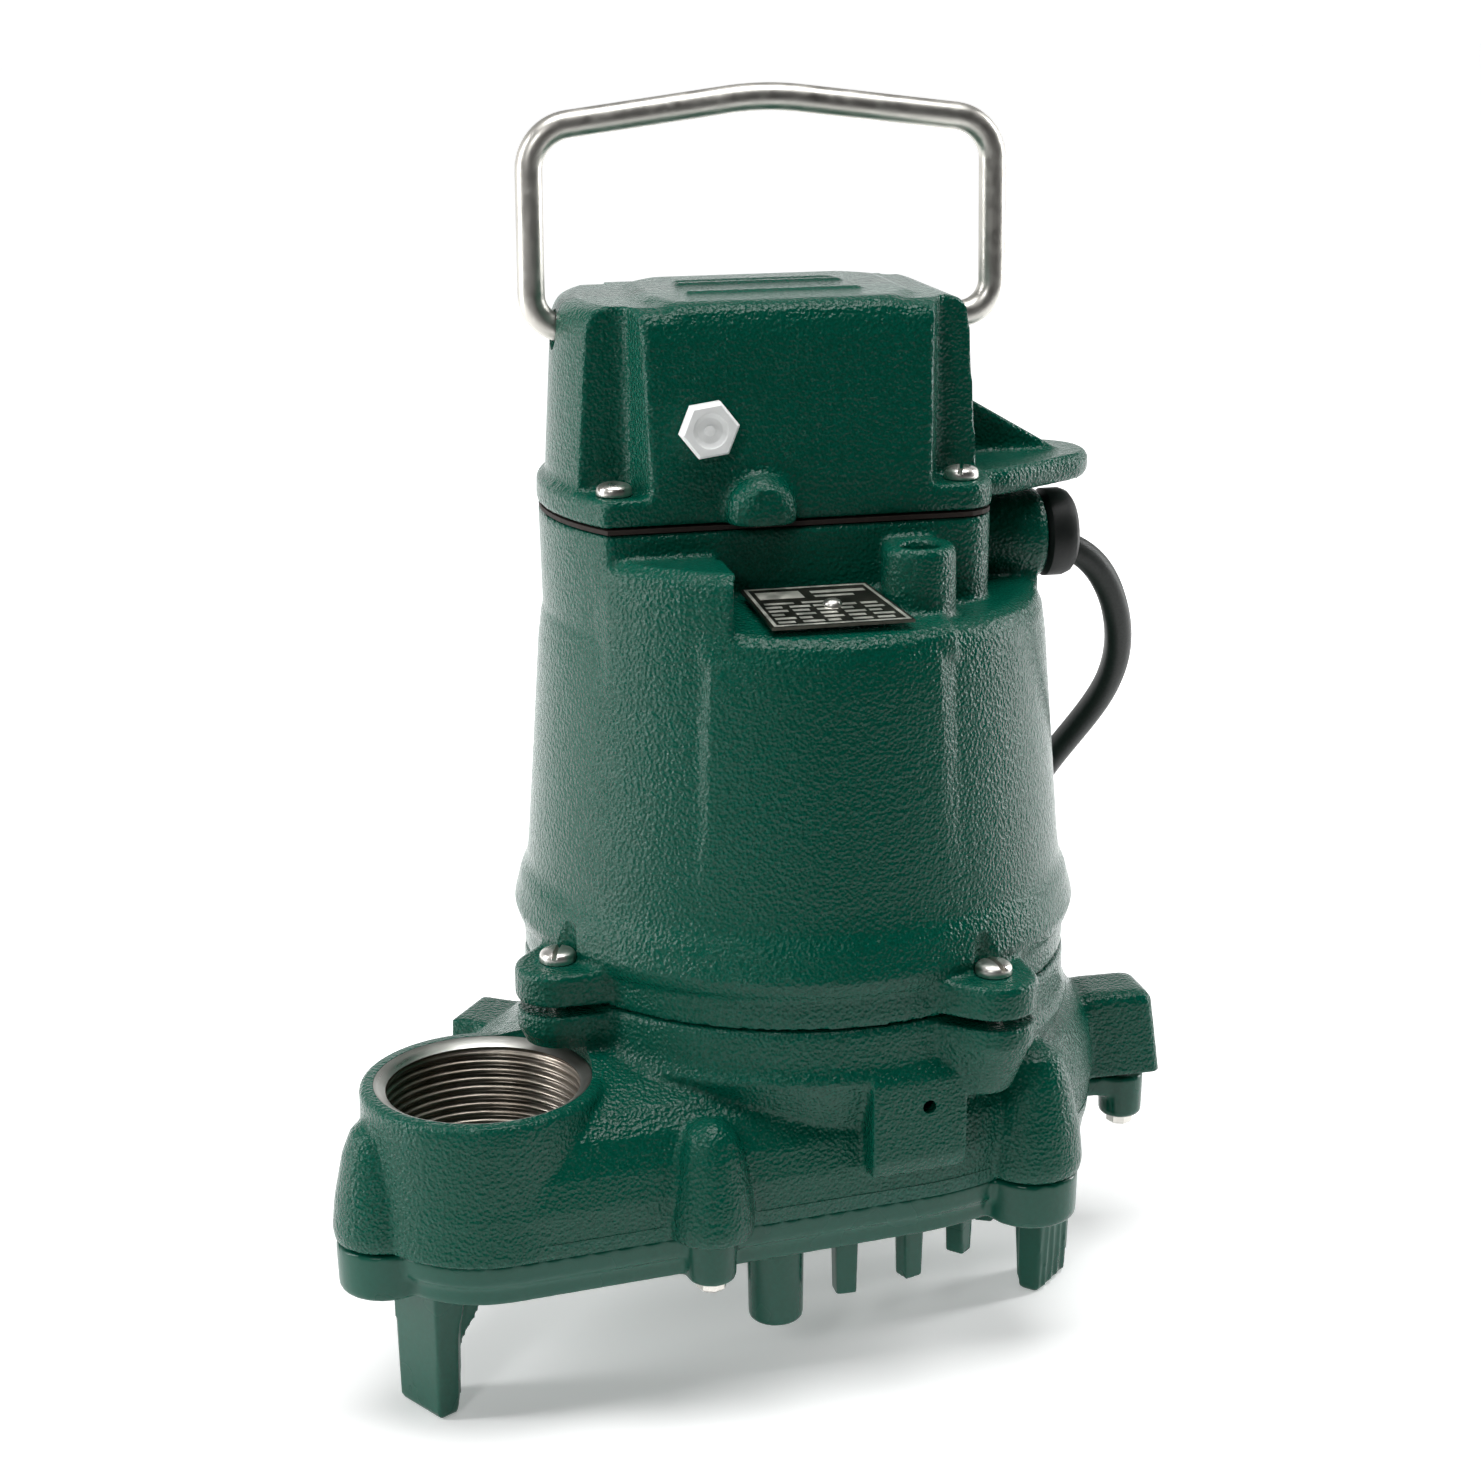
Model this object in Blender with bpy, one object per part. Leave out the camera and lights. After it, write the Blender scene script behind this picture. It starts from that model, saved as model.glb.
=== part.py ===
"""Submersible sump pump, modelled in metres with +Z up. The motor axis is vertical."""
import math

import bmesh
import bpy
import numpy as np
from mathutils import Matrix, Vector

for old in list(bpy.data.objects):
    bpy.data.objects.remove(old, do_unlink=True)

MM = 0.001

# Driving dimensions, in millimetres, measured from the motor axis and the floor.
AXIS = (10.8, -9.05)              # where the motor axis stands in the part's frame
SCROLL_C, SCROLL_R = (8.0, 9.0), 71.0
HUB_C, HUB_R, HUB_TOP = (-84.5, -45.0), 28.6, 80.2
THREAD_R, MOUTH_R = 22.3, 25.0
BORE_FLOOR = 50.0
EAR_R, EAR_START, EAR_SIZE = 72.3, 206.9, 10.3
FLANGE_R, SEAM_Z = 67.7, 93.2
BODY_R_LOW, BODY_R_HIGH = 65.8, 61.0
SHOULDER_Z, NECK_TOP = 183.5, 204.2
CASE_BOTTOM, CASE_LEDGE, CASE_TOP = 205.8, 212.2, 255.5
CASE_ARC, CASE_FRONT, CASE_BACK, CASE_RIGHT = 61.3, -34.0, 36.0, 42.4
GASKET_Z = (204.5, 205.5)
SKIRT_Z, SKIRT_BAND_Z, BASE_TOP = 34.5, 40.0, 45.7
BOSS_Z = 34.0
PLATE_Z = 42.2
SCREWS_CASE = ((-47.6, -27.0), (34.6, -27.0), (-46.0, 28.5), (34.6, 28.5))
BOSSES = ((-109.0, -50.5), (-35.2, -66.0), (47.5, -49.5), (89.0, 0.5), (-77.0, 12.0), (22.0, 84.0))
ROD_R = 3.2
PIVOT_Z, GRIP_Z, PEAK_Z, HANDLE_Y = 247.0, 293.6, 299.4, 0.4
ROD_LEFT, ROD_RIGHT = -61.6, 49.9
GLAND_Y, GLAND_Z = 0.0, 192.4
CORD_R = 3.5
CORD_ROUTE = (
    (38, 0, 192.4), (50, 0, 192.4), (62, 0.1, 191.7), (73, 0.6, 188.6), (85, 5, 173.2), (89.2, 14, 153), (84.8, 28, 134),
    (77.6, 42, 115), (73.4, 56, 92), (72.6, 70, 68), (74, 84, 44), (77, 98, 23), (80.4, 113, 9), (82.9, 129.7, 3.75))
COIL_C, COIL_R, COIL_T, COIL_H = (30.0, 158.0), 42.0, 14.6, 28.6
SHAFT_R, ROTOR_R, STATOR_R = 6.0, 27.0, 52.0

COLOURS = {
    "enamel": (0.004, 0.085, 0.055, 1), "plastic_green": (0.01, 0.12, 0.075, 1),
    "steel": (0.62, 0.6, 0.56, 1), "gasket": (0.02, 0.015, 0.012, 1),
    "nylon": (0.9, 0.9, 0.88, 1), "black": (0.015, 0.015, 0.016, 1),
    "cord": (0.02, 0.02, 0.022, 1), "plate": (0.12, 0.12, 0.12, 1),
    "copper": (0.55, 0.22, 0.08, 1), "laminate": (0.25, 0.25, 0.27, 1),
    "alu": (0.7, 0.7, 0.72, 1), "carbon": (0.03, 0.03, 0.03, 1),
    "brass": (0.7, 0.5, 0.2, 1), "brown": (0.12, 0.05, 0.02, 1),
    "bronze": (0.45, 0.28, 0.12, 1), "ceramic": (0.85, 0.84, 0.8, 1),
}


def at(x, y, z=0.0):
    """A point given from the motor axis, in the part's frame and in metres."""
    return Vector(((x + AXIS[0]) * MM, (y + AXIS[1]) * MM, z * MM))


def from_rings(name, rings, closed_loop=False):
    """A closed mesh through rings of equal length; the first and last are capped unless the rings close on themselves."""
    bm = bmesh.new()
    rows = [[bm.verts.new(at(*p)) for p in ring] for ring in rings]
    count = len(rows[0])
    pairs = list(zip(rows, rows[1:]))
    if closed_loop:
        pairs.append((rows[-1], rows[0]))
    for low, high in pairs:
        for i in range(count):
            j = (i + 1) % count
            bm.faces.new((low[i], low[j], high[j], high[i]))
    if not closed_loop:
        bm.faces.new(list(reversed(rows[0])))
        bm.faces.new(rows[-1])
    bmesh.ops.triangulate(bm, faces=bm.faces)
    bmesh.ops.recalc_face_normals(bm, faces=bm.faces)
    if bm.calc_volume(signed=True) < 0:
        bmesh.ops.reverse_faces(bm, faces=bm.faces)
    mesh = bpy.data.meshes.new(name)
    bm.to_mesh(mesh)
    bm.free()
    obj = bpy.data.objects.new(name, mesh)
    bpy.context.scene.collection.objects.link(obj)
    return obj


def circle(cx, cy, r, n=48, start=0.0):
    return [(cx + r * math.cos(start + 2 * math.pi * i / n), cy + r * math.sin(start + 2 * math.pi * i / n)) for i in range(n)]


def raised(outline, z):
    return [(x, y, z) for x, y in outline]


def prism(name, outline, z0, z1):
    return from_rings(name, [raised(outline, z0), raised(outline, z1)])


def stack(name, sections):
    return from_rings(name, [raised(outline, z) for outline, z in sections])


def turned(name, profile, c=(0.0, 0.0), n=48, ring=False):
    """Revolves (radius, height) pairs about a vertical axis. A ring's profile closes on itself."""
    return from_rings(name, [[(x, y, z) for x, y in circle(c[0], c[1], r, n)] for r, z in profile], ring)


def turned_x(name, profile, y, z, n=24, ring=False):
    """Revolves (radius, x) pairs about a line along X."""
    rows = []
    for r, x in profile:
        rows.append([(x, y + r * math.cos(2 * math.pi * i / n), z + r * math.sin(2 * math.pi * i / n)) for i in range(n)])
    return from_rings(name, rows, ring)


def turned_y(name, profile, x, z, n=24, start=0.0):
    rows = []
    for r, y in profile:
        rows.append([(x + r * math.cos(start + 2 * math.pi * i / n), y, z + r * math.sin(start + 2 * math.pi * i / n)) for i in range(n)])
    return from_rings(name, rows)


def box(name, x0, x1, y0, y1, z0, z1):
    return prism(name, [(x0, y0), (x1, y0), (x1, y1), (x0, y1)], z0, z1)


def rounded(corners, k=5):
    """A polygon whose corners (x, y, radius) are rounded with k points each."""
    out = []
    n = len(corners)
    for i in range(n):
        px, py, _ = corners[i - 1]
        cx, cy, r = corners[i]
        nx, ny, _ = corners[(i + 1) % n]
        a = Vector((px - cx, py - cy)).normalized()
        b = Vector((nx - cx, ny - cy)).normalized()
        half = a.angle(b) / 2
        reach = r / math.tan(half)
        start, end = Vector((cx, cy)) + a * reach, Vector((cx, cy)) + b * reach
        centre = Vector((cx, cy)) + (a + b).normalized() * (r / math.sin(half))
        a0 = math.atan2(start.y - centre.y, start.x - centre.x)
        a1 = math.atan2(end.y - centre.y, end.x - centre.x)
        turn = (a1 - a0 + math.pi) % (2 * math.pi) - math.pi
        for j in range(k):
            t = a0 + turn * j / (k - 1)
            out.append((centre.x + r * math.cos(t), centre.y + r * math.sin(t)))
    return out


def two_circles(c1, r1, c2, r2, n1=40, n2=20):
    """The outline round two circles and their outer tangents, anticlockwise. c1 has the larger radius."""
    along = math.atan2(c1[1] - c2[1], c1[0] - c2[0])
    lean = math.asin((r1 - r2) / math.dist(c1, c2))
    low, high = along - math.pi / 2 - lean, along + math.pi / 2 + lean
    out = []
    for i in range(n1):
        t = low + (high - low) * i / (n1 - 1)
        out.append((c1[0] + r1 * math.cos(t), c1[1] + r1 * math.sin(t)))
    for i in range(n2):
        t = high + (low + 2 * math.pi - high) * i / (n2 - 1)
        out.append((c2[0] + r2 * math.cos(t), c2[1] + r2 * math.sin(t)))
    return out


def scroll(offset, n1=28, n2=14):
    return two_circles(SCROLL_C, SCROLL_R + offset, HUB_C, HUB_R + offset, n1, n2)


def case_plan(inset, front=0.0, arc_points=16, corner=9.0):
    """The cap's plan: an arc on the left, flat front, right and back."""
    r, f, b, x = CASE_ARC - inset, CASE_FRONT + front, CASE_BACK - inset, CASE_RIGHT - inset
    out = []
    for cx, cy, a0 in ((x - corner, f + corner, -90), (x - corner, b - corner, 0)):
        for j in range(6):
            t = math.radians(a0 + 90 * j / 5)
            out.append((cx + corner * math.cos(t), cy + corner * math.sin(t)))
    start = math.pi - math.asin(b / r)
    end = math.pi + math.asin(-f / r)
    for i in range(arc_points):
        t = start + (end - start) * i / (arc_points - 1)
        out.append((r * math.cos(t), r * math.sin(t)))
    return out


def tube(name, points, r, n=14):
    """A round bar along a path, capped at both ends."""
    path = [Vector(p) for p in points]
    rows = []
    side = None
    for i, p in enumerate(path):
        ahead = (path[min(i + 1, len(path) - 1)] - path[max(i - 1, 0)]).normalized()
        if side is None:
            side = ahead.orthogonal().normalized()
        side = (side - ahead * side.dot(ahead)).normalized()
        other = ahead.cross(side)
        rows.append([tuple(p + side * (r * math.cos(2 * math.pi * j / n)) + other * (r * math.sin(2 * math.pi * j / n))) for j in range(n)])
    return from_rings(name, rows)


def fillet_path(points, radii, k=6):
    """A polyline whose inner corners are replaced by arcs."""
    pts = [Vector(p) for p in points]
    out = [pts[0]]
    for i in range(1, len(pts) - 1):
        a, b = (pts[i - 1] - pts[i]).normalized(), (pts[i + 1] - pts[i]).normalized()
        half = a.angle(b) / 2
        r = radii[i - 1]
        reach = r / math.tan(half)
        centre = pts[i] + (a + b).normalized() * (r / math.sin(half))
        s, e = pts[i] + a * reach - centre, pts[i] + b * reach - centre
        total = s.angle(e)
        for j in range(k + 1):
            t = total * j / k
            out.append(centre + (s * math.sin(total - t) + e * math.sin(t)) / math.sin(total))
    out.append(pts[-1])
    return out


def spline_points(points, spacing):
    """Evenly spaced points on the natural cubic spline through the given points."""
    p = np.array(points, float)
    n = len(p)
    t = np.concatenate([[0.0], np.cumsum(np.linalg.norm(np.diff(p, axis=0), axis=1))])
    h = np.diff(t)[:, None]
    a, b = np.eye(n), np.zeros_like(p)
    for i in range(1, n - 1):
        a[i, i - 1:i + 2] = h[i - 1, 0], 2 * (h[i - 1, 0] + h[i, 0]), h[i, 0]
        b[i] = 6 * ((p[i + 1] - p[i]) / h[i] - (p[i] - p[i - 1]) / h[i - 1])
    m = np.linalg.solve(a, b)
    out = []
    for s in np.linspace(0, t[-1], int(round(t[-1] / spacing)) + 1):
        i = min(int(np.searchsorted(t, s, side="right")) - 1, n - 2)
        u, v, k = t[i + 1] - s, s - t[i], h[i, 0]
        out.append((m[i] * u ** 3 + m[i + 1] * v ** 3) / (6 * k) + (p[i] / k - m[i] * k / 6) * u + (p[i + 1] / k - m[i + 1] * k / 6) * v)
    return out


def combine(obj, others, operation):
    """Applies a Boolean with each of the other objects and removes them."""
    for other in others:
        mod = obj.modifiers.new("cut", "BOOLEAN")
        mod.operation, mod.solver, mod.object = operation, "EXACT", other
        bpy.context.view_layer.update()
        graph = bpy.context.evaluated_depsgraph_get()
        mesh = bpy.data.meshes.new_from_object(obj.evaluated_get(graph))
        obj.modifiers.clear()
        obj.data = mesh
        bpy.data.objects.remove(other, do_unlink=True)
    return obj


def join(obj, *others):
    return combine(obj, others, "UNION")


def cut(obj, *others):
    return combine(obj, others, "DIFFERENCE")


def dress(obj, name, colour, metallic=0.0, roughness=0.5):
    """Names the object and gives it a material of its own."""
    obj.name = name
    obj.data.name = name
    mat = bpy.data.materials.new(name)
    mat.use_nodes = True
    shader = mat.node_tree.nodes["Principled BSDF"]
    shader.inputs["Base Color"].default_value = COLOURS[colour]
    shader.inputs["Metallic"].default_value = metallic
    shader.inputs["Roughness"].default_value = roughness
    obj.data.materials.clear()
    obj.data.materials.append(mat)
    if obj.type == "MESH":
        obj.data.shade_smooth()
        obj.data.set_sharp_from_angle(angle=math.radians(32))
    return obj


def polar(r, degrees, c=(0.0, 0.0)):
    return c[0] + r * math.cos(math.radians(degrees)), c[1] + r * math.sin(math.radians(degrees))


def turned_box(name, cx, cy, along, w, d, z0, z1, w_top=None, d_top=None):
    """A box with its depth along the direction `along` (degrees), w wide, tapering to the top size."""
    a = math.radians(along)
    u, v = (math.cos(a), math.sin(a)), (-math.sin(a), math.cos(a))
    rows = []
    for ww, dd, z in ((w, d, z0), (w_top or w, d_top or d, z1)):
        rows.append([(cx + u[0] * s * dd / 2 + v[0] * t * ww / 2, cy + u[1] * s * dd / 2 + v[1] * t * ww / 2, z) for s, t in ((-1, -1), (1, -1), (1, 1), (-1, 1))])
    return from_rings(name, rows)


# ---- Switch case -------------------------------------------------------------------------------
case = stack("case", [
    (case_plan(2.2, 0.0, corner=8), CASE_BOTTOM + 0.6), (case_plan(2.4, 0.2, corner=8), 216),
    (case_plan(4.6, 3.0, corner=8), 245), (case_plan(5.4, 4.2, corner=8), 249.5),
    (case_plan(7.2, 6.2, corner=8), 252.3), (case_plan(10.5, 9.5, corner=7), 253.4)])
cut(case,
    prism("recess_l", rounded([(-90, -60, 1), (-43.5, -60, 1), (-39.0, -37, 3), (-43.6, -21.5, 3.0), (-90, -21.5, 1)], 3), CASE_LEDGE - 8, 270),
    prism("recess_r", rounded([(24.5, -37, 3), (30.5, -60, 1), (90, -60, 1), (90, -21.5, 1), (30.0, -21.5, 3.0)], 3), CASE_LEDGE - 8, 270))
flange = stack("flange", [(case_plan(0.4), CASE_BOTTOM), (case_plan(0.0), CASE_BOTTOM + 0.7), (case_plan(0.2), CASE_LEDGE - 0.8), (case_plan(1.0, 0.6), CASE_LEDGE)])
panel = stack("panel", [
    (rounded([(-36.5, -31.0, 3), (22.0, -31.0, 3), (30, -18, 5), (30, 22, 5), (20.0, 29.0, 5), (-31.0, 29.0, 5), (-40, 20, 5), (-41, -16, 5)]), 246),
    (rounded([(-34.5, -29.4, 3), (20.0, -29.4, 3), (28, -17, 5), (28, 20, 5), (19.0, 27.4, 5), (-30.0, 27.4, 5), (-38, 19, 5), (-39, -15, 5)]), 253.2),
    (rounded([(-33.5, -27.6, 3), (19.0, -27.6, 3), (26, -16, 5), (26, 19, 5), (18.5, 26, 5), (-29.5, 26, 5), (-36.5, 18, 5), (-37.5, -14, 5)]), 254.9),
    (rounded([(-32.4, -25.4, 3), (18.0, -25.4, 3), (24.5, -15, 5), (24.5, 18, 5), (18, 24.5, 5), (-28.5, 24.5, 5), (-35, 17, 5), (-36, -13, 5)]), CASE_TOP)])
join(case, flange, panel)
# Bracket on the right side: a rounded shelf and its gusset.
shelf = stack("shelf", [
    (two_circles((38, 2), 24.0, (61.5, 4.0), 13.2, 20, 14), 206.4), (two_circles((38, 2), 25.0, (61.5, 4.0), 14.2, 20, 14), 208.2),
    (two_circles((38, 2), 25.0, (61.5, 4.0), 14.2, 20, 14), 211.2), (two_circles((38, 2), 24.0, (61.5, 4.0), 13.2, 20, 14), 212.8)])
gusset = from_rings("gusset", [[(36, y, 210), (72.0, y, 210), (71.0, y, 213.6), (45.5, y, 227.4), (36, y, 228)] for y in (1.5, 7.5)])
knob = turned_y("knob", [(9.4, -30), (9.2, -36.5), (8.0, -38.8), (5.4, -40.4), (1.5, -41.0)], -15.0, 208.6, 24)
cut(knob, box("below", -40, 10, -50, -20, 180, CASE_BOTTOM + 0.05))
web = box("web", -17.5, -12.5, -40.6, -30, CASE_BOTTOM + 0.3, 214.6)
join(case, shelf, gusset, knob, web)
plan_in = [(x * 0.885, y * 0.83 + 0.2) for x, y in case_plan(0.0)]
cut(case,
    stack("chamber", [([(x, min(max(y, -19.0) if (x < -34 or x > 19) else y, 19.5)) for x, y in plan_in], CASE_BOTTOM - 2),
                      ([(x * 0.9, min(max(y * 0.88, -17.0) if (x < -34 or x > 19) else y * 0.88, 17.5)) for x, y in plan_in], 249.0)]),
    turned_y("plug_hole", [(4.4, -45), (4.4, -20)], -27.0, 227.8, 16),
    turned_x("pivot_l", [(5.0, -75), (5.0, -57.5), (3.7, -52.5), (3.7, -44)], HANDLE_Y, PIVOT_Z, 16),
    turned_x("pivot_r", [(3.7, 30), (3.7, 36.6), (5.0, 39.6), (5.0, 60)], HANDLE_Y, PIVOT_Z, 16))
for i, (x, y) in enumerate(SCREWS_CASE):
    if y > 0:
        cut(case, prism(f"rear_recess{i}", rounded([(x - 30 if x < 0 else x - 6.0, y - 6.5, 2), (x + 6.0 if x < 0 else x + 30, y - 6.5, 2), (x + 6.0 if x < 0 else x + 30, y + 30, 2), (x - 30 if x < 0 else x - 6.0, y + 30, 2)], 3), CASE_LEDGE, 270))
    cut(case, turned(f"hole{i}", [(2.4, 198), (2.4, 216)], (x, y), 12))
# Plain raised bars and a ring on the top panel, where a foundry mark would stand.
marks = [box(f"bar{i}", -27 + 0.8 * i, 14 - 0.8 * i, y, y + 2.0, 254.8, 256.1) for i, y in enumerate((-12.0, 5.0, 10.0))]
join(case, *marks)
dress(case, "switch_case", "enamel", 0.0, 0.35)

gasket = prism("gasket", case_plan(0.5), *GASKET_Z)
cut(gasket, prism("g_in", [(x * 0.87, min(max(y * 0.86, -18.0) if (x < -34 or x > 19) else y * 0.8, 20.5)) for x, y in case_plan(0.0)], 200, 210))
for i, (x, y) in enumerate(SCREWS_CASE):
    cut(gasket, turned(f"hole{i}", [(2.5, 200), (2.5, 210)], (x, y), 12))
dress(gasket, "case_gasket", "gasket", 0.0, 0.8)


# ---- Motor housing -----------------------------------------------------------------------------
def body_radius(z):
    t = (z - 120.0) / (SHOULDER_Z - 120.0)
    return BODY_R_LOW + (BODY_R_HIGH - BODY_R_LOW) * t


def body_ring(z, r, pilaster=0.0, n=54):
    """A ring of the body; the pilaster stands proud over the front by up to that amount."""
    out = []
    for i in range(n):
        t = 360.0 * i / n
        d = (t + 95.0 + 180.0) % 360.0 - 180.0
        edge = min(1.0, max(0.0, (27.0 - abs(d)) / 3.0))
        out.append(polar(r + pilaster * edge, t) + (z,))
    return out


levels = [(SEAM_Z + 0.4, FLANGE_R - 0.4, 0), (101.0, FLANGE_R, 0), (102.4, FLANGE_R + 1.2, 0), (105.5, 69.8, 0), (112.5, 68.0, 0), (116.0, 66.4, 0), (121.0, BODY_R_LOW, 0.0),
          (142.0, body_radius(142), 0.2), (172.0, body_radius(172), 1.4), (179.0, body_radius(179) - 0.4, 1.5), (182.2, body_radius(182) - 1.6, 1.3), (183.8, body_radius(183) - 4.6, 0.8)]
body = from_rings("body", [body_ring(z, r, p) for z, r, p in levels])
neck = stack("neck", [(case_plan(0.8), 176), (case_plan(0.4), NECK_TOP)])
step = from_rings("step", [[polar(r, a) + (z,) for a in (-146, -141, -136, -131, -126, -121, -117.5, -115)] + [(-24.5, -44.0, z), (-26.0, -30.0, z), (-40.0, -28.0, z), (-53.0, -30.0, z)] for r, z in ((62.4, 168), (61.6, 190), (60.9, 196.2), (58.6, 198.4))])


def platform_ring(r, z, slope):
    """A ring of the nameplate platform, lying in a plane that falls towards the front."""
    outline = [polar(r, a) for a in range(-122, -64, 4)] + [(24.0, -30.0), (-27.0, -30.0)]
    return [(x, y, z + (y + 30.0) * slope) for x, y in outline]


plat = from_rings("plat", [platform_ring(60.0, 171.7, 0.0), platform_ring(62.6, 178.3, 0.0), platform_ring(62.2, 187.8, 0.19), platform_ring(60.0, 189.5, 0.19)])
post = turned("post", [(9.0, 171.3), (8.7, 199.0), (7.8, 200.6)], (20.33, -41.17), 28)
cut(post, turned("post_in", [(4.6, 196), (4.6, 205)], (20.33, -42.6), 16))
cord_boss = turned_x("cord_boss", [(11.5, 30), (11.4, 60.6), (10.4, 62.4)], GLAND_Y, GLAND_Z, 32)
boss_skirt = box("boss_skirt", 36, 60.0, -9.5, 9.5, 176, 192)
bearing_wall = turned("bearing_wall", [(14.5, 170.5), (14.5, 189.0)], n=24)
join(body, neck, step, plat, post, cord_boss, boss_skirt)
ears = []
for i in range(4):
    ax = EAR_START + 90 * i
    cx, cy = polar(EAR_R, ax)
    ears.append(stack(f"ear{i}", [(two_circles(polar(58, ax), 15.5, (cx, cy), EAR_SIZE - 0.5, 9, 8), 95.6), (two_circles(polar(58, ax), 16.0, (cx, cy), EAR_SIZE, 9, 8), 96.3),
                                  (two_circles(polar(58, ax), 16.0, (cx, cy), EAR_SIZE, 9, 8), 101.8), (two_circles(polar(58, ax), 15.5, (cx, cy), EAR_SIZE - 0.8, 9, 8), 102.8)]))
join(body, *ears)
# The bore takes the stator; the web above it holds the upper bearing; the neck opens to the wiring chamber.
cut(body,
    turned("bore", [(57.5, 88), (57.5, 112), (52.4, 114), (52.4, 165), (46.0, 176)], n=40),
    stack("neck_in", [([(x * 0.80, y * 0.74) for x, y in case_plan(0.0)], 187.5), ([(x * 0.84, y * 0.76) for x, y in case_plan(0.0)], 212)]),
    turned("wire_way", [(5.0, 170), (5.0, 192)], (26, 12), 16),
    turned_x("cord_way", [(4.4, 30), (4.4, 52), (6.2, 64), (6.2, 70)], GLAND_Y, GLAND_Z, 16))
join(body, bearing_wall)
cut(body, turned("bearing_seat", [(10.3, 160), (10.3, 195)], n=24))
for i, (x, y) in enumerate(SCREWS_CASE):
    cut(body, turned(f"hole{i}", [(2.0, 190), (2.0, 206)], (x, y), 12))
for i in range(4):
    cut(body, turned(f"hole{i}", [(2.6, 94), (2.6, 105)], polar(EAR_R, EAR_START + 90 * i), 12),
        turned(f"spot{i}", [(5.1, 102.8), (5.1, 111), (3.0, 116)], polar(EAR_R + 0.6, EAR_START + 90 * i), 14))
dress(body, "motor_housing", "enamel", 0.0, 0.35)

# ---- Volute -------------------------------------------------------------------------------------
volute = stack("volute", [
    (scroll(-0.6), 46.0), (scroll(0.5), 57.0), (scroll(-0.8), 64.5), (scroll(-5.0), 72.0), (scroll(-12.0), 76.8), (scroll(-22.0), 79.9)])
hub = turned("hub", [(HUB_R + 0.9, 46.2), (HUB_R + 0.2, 60), (HUB_R, HUB_TOP - 1.0), (HUB_R - 0.9, HUB_TOP)], HUB_C, 32)
collar = turned("collar", [(60, 60), (70.5, 79.5), (68.4, 82.0), (67.7, 84.5), (67.7, 91.6), (67.3, SEAM_Z - 0.2)], n=44)
join(volute, hub, collar)
for i in range(4):
    ax = EAR_START + 90 * i
    cx, cy = polar(EAR_R, ax)
    join(volute, stack(f"v_ear{i}", [(two_circles(polar(56, ax), 14, polar(EAR_R - 4, ax), 7.4, 9, 8), 74), (two_circles(polar(58, ax), 15, (cx, cy), EAR_SIZE - 1.6, 9, 8), 85.4),
                                      (two_circles(polar(58, ax), 15.4, (cx, cy), EAR_SIZE - 0.4, 9, 8), 87.4), (two_circles(polar(58, ax), 15.4, (cx, cy), EAR_SIZE - 0.4, 9, 8), 92.2)]))


def bullet(name, c, r, top, foot=46.2):
    return turned(name, [(r, foot), (r + 0.5, foot + 3), (r - 0.3, foot + 0.35 * (top - foot)), (r * 0.78, foot + 0.72 * (top - foot)), (r * 0.6, top - 3.0), (r * 0.36, top - 0.8), (r * 0.12, top)], c, 14)


join(volute,
     bullet("boss_a", BOSSES[0], 11.6, 75.5), bullet("boss_b", BOSSES[1], 8.9, 74.0), bullet("boss_c", BOSSES[2], 12.2, 78.5),
     turned_box("boss_d", 86.0, 0.5, 0, 20, 27, 46.2, 70.5, 18.5, 23), turned_box("boss_e", -74.0, 10.0, 146, 19, 22, 46.2, 74.0, 17.5, 18),
     bullet("boss_f", BOSSES[5], 9.0, 74.0),
     from_rings("pad", [[(2.0, -60, z), (2.0 + 0.6, y, z), (26.0, y + 3.4, z), (30, -40, z)] for z, y in ((56.0, -69.2), (60, -70.6), (79.5, -70.2), (82.0, -68.6))]))
cut(volute,
    stack("scroll_in", [(scroll(-7.5), 40), (scroll(-7.5), 62), (scroll(-12.5), 69.5)]),
    turned("chamber", [(56, 40), (56, 78.5)], n=40), turned("plate_seat", [(61.5, 86.0), (61.5, 97)], n=40), turned("throat", [(30, 70), (30, 90)], n=28),
    turned("outlet", [(THREAD_R, BORE_FLOOR), (THREAD_R, 78.2), (MOUTH_R, 80.0), (MOUTH_R + 0.4, 84)], HUB_C, 28),
    from_rings("weep", [[(16.6 + 1.7 * math.cos(math.radians(a)), y, 72.6 + 1.7 * math.sin(math.radians(a))) for a in range(0, 360, 30)] for y in (-80, -62)]))
for i in range(4):
    cut(volute, turned(f"hole{i}", [(2.1, 80), (2.1, 96)], polar(EAR_R, EAR_START + 90 * i), 12))
for i, c in enumerate(BOSSES):
    cut(volute, turned(f"hole{i}", [(1.9, 40), (1.9, 60)], c, 10))
dress(volute, "volute_case", "enamel", 0.0, 0.35)

# ---- Plastic base --------------------------------------------------------------------------------
base = stack("base", [(scroll(-4.2), SKIRT_Z), (scroll(-3.6), SKIRT_Z + 0.6), (scroll(-3.0), SKIRT_BAND_Z - 0.4), (scroll(-1.6), SKIRT_BAND_Z + 0.4), (scroll(-1.0), BASE_TOP)])
cups = []
for i, (x, y) in enumerate(BOSSES):
    r = (11.2, 5.9, 11.4, 5.6, 5.6, 6.2)[i]
    cups.append(turned(f"cup{i}", [(r - 0.8, BOSS_Z), (r, BOSS_Z + 0.6), (r + 0.3, BASE_TOP)], (x, y), 16))
    if i in (1, 3, 4, 5):
        inward = math.degrees(math.atan2(SCROLL_C[1] - y, SCROLL_C[0] - x))
        mx, my = x + 9 * math.cos(math.radians(inward)), y + 9 * math.sin(math.radians(inward))
        cups.append(turned_box(f"cupweb{i}", mx, my, inward, 2 * r - 1.5, 20, 40.5, BASE_TOP))
join(base, *cups)
cut(base, stack("under", [(scroll(-7.0), 20), (scroll(-6.6), PLATE_Z)]))
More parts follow.
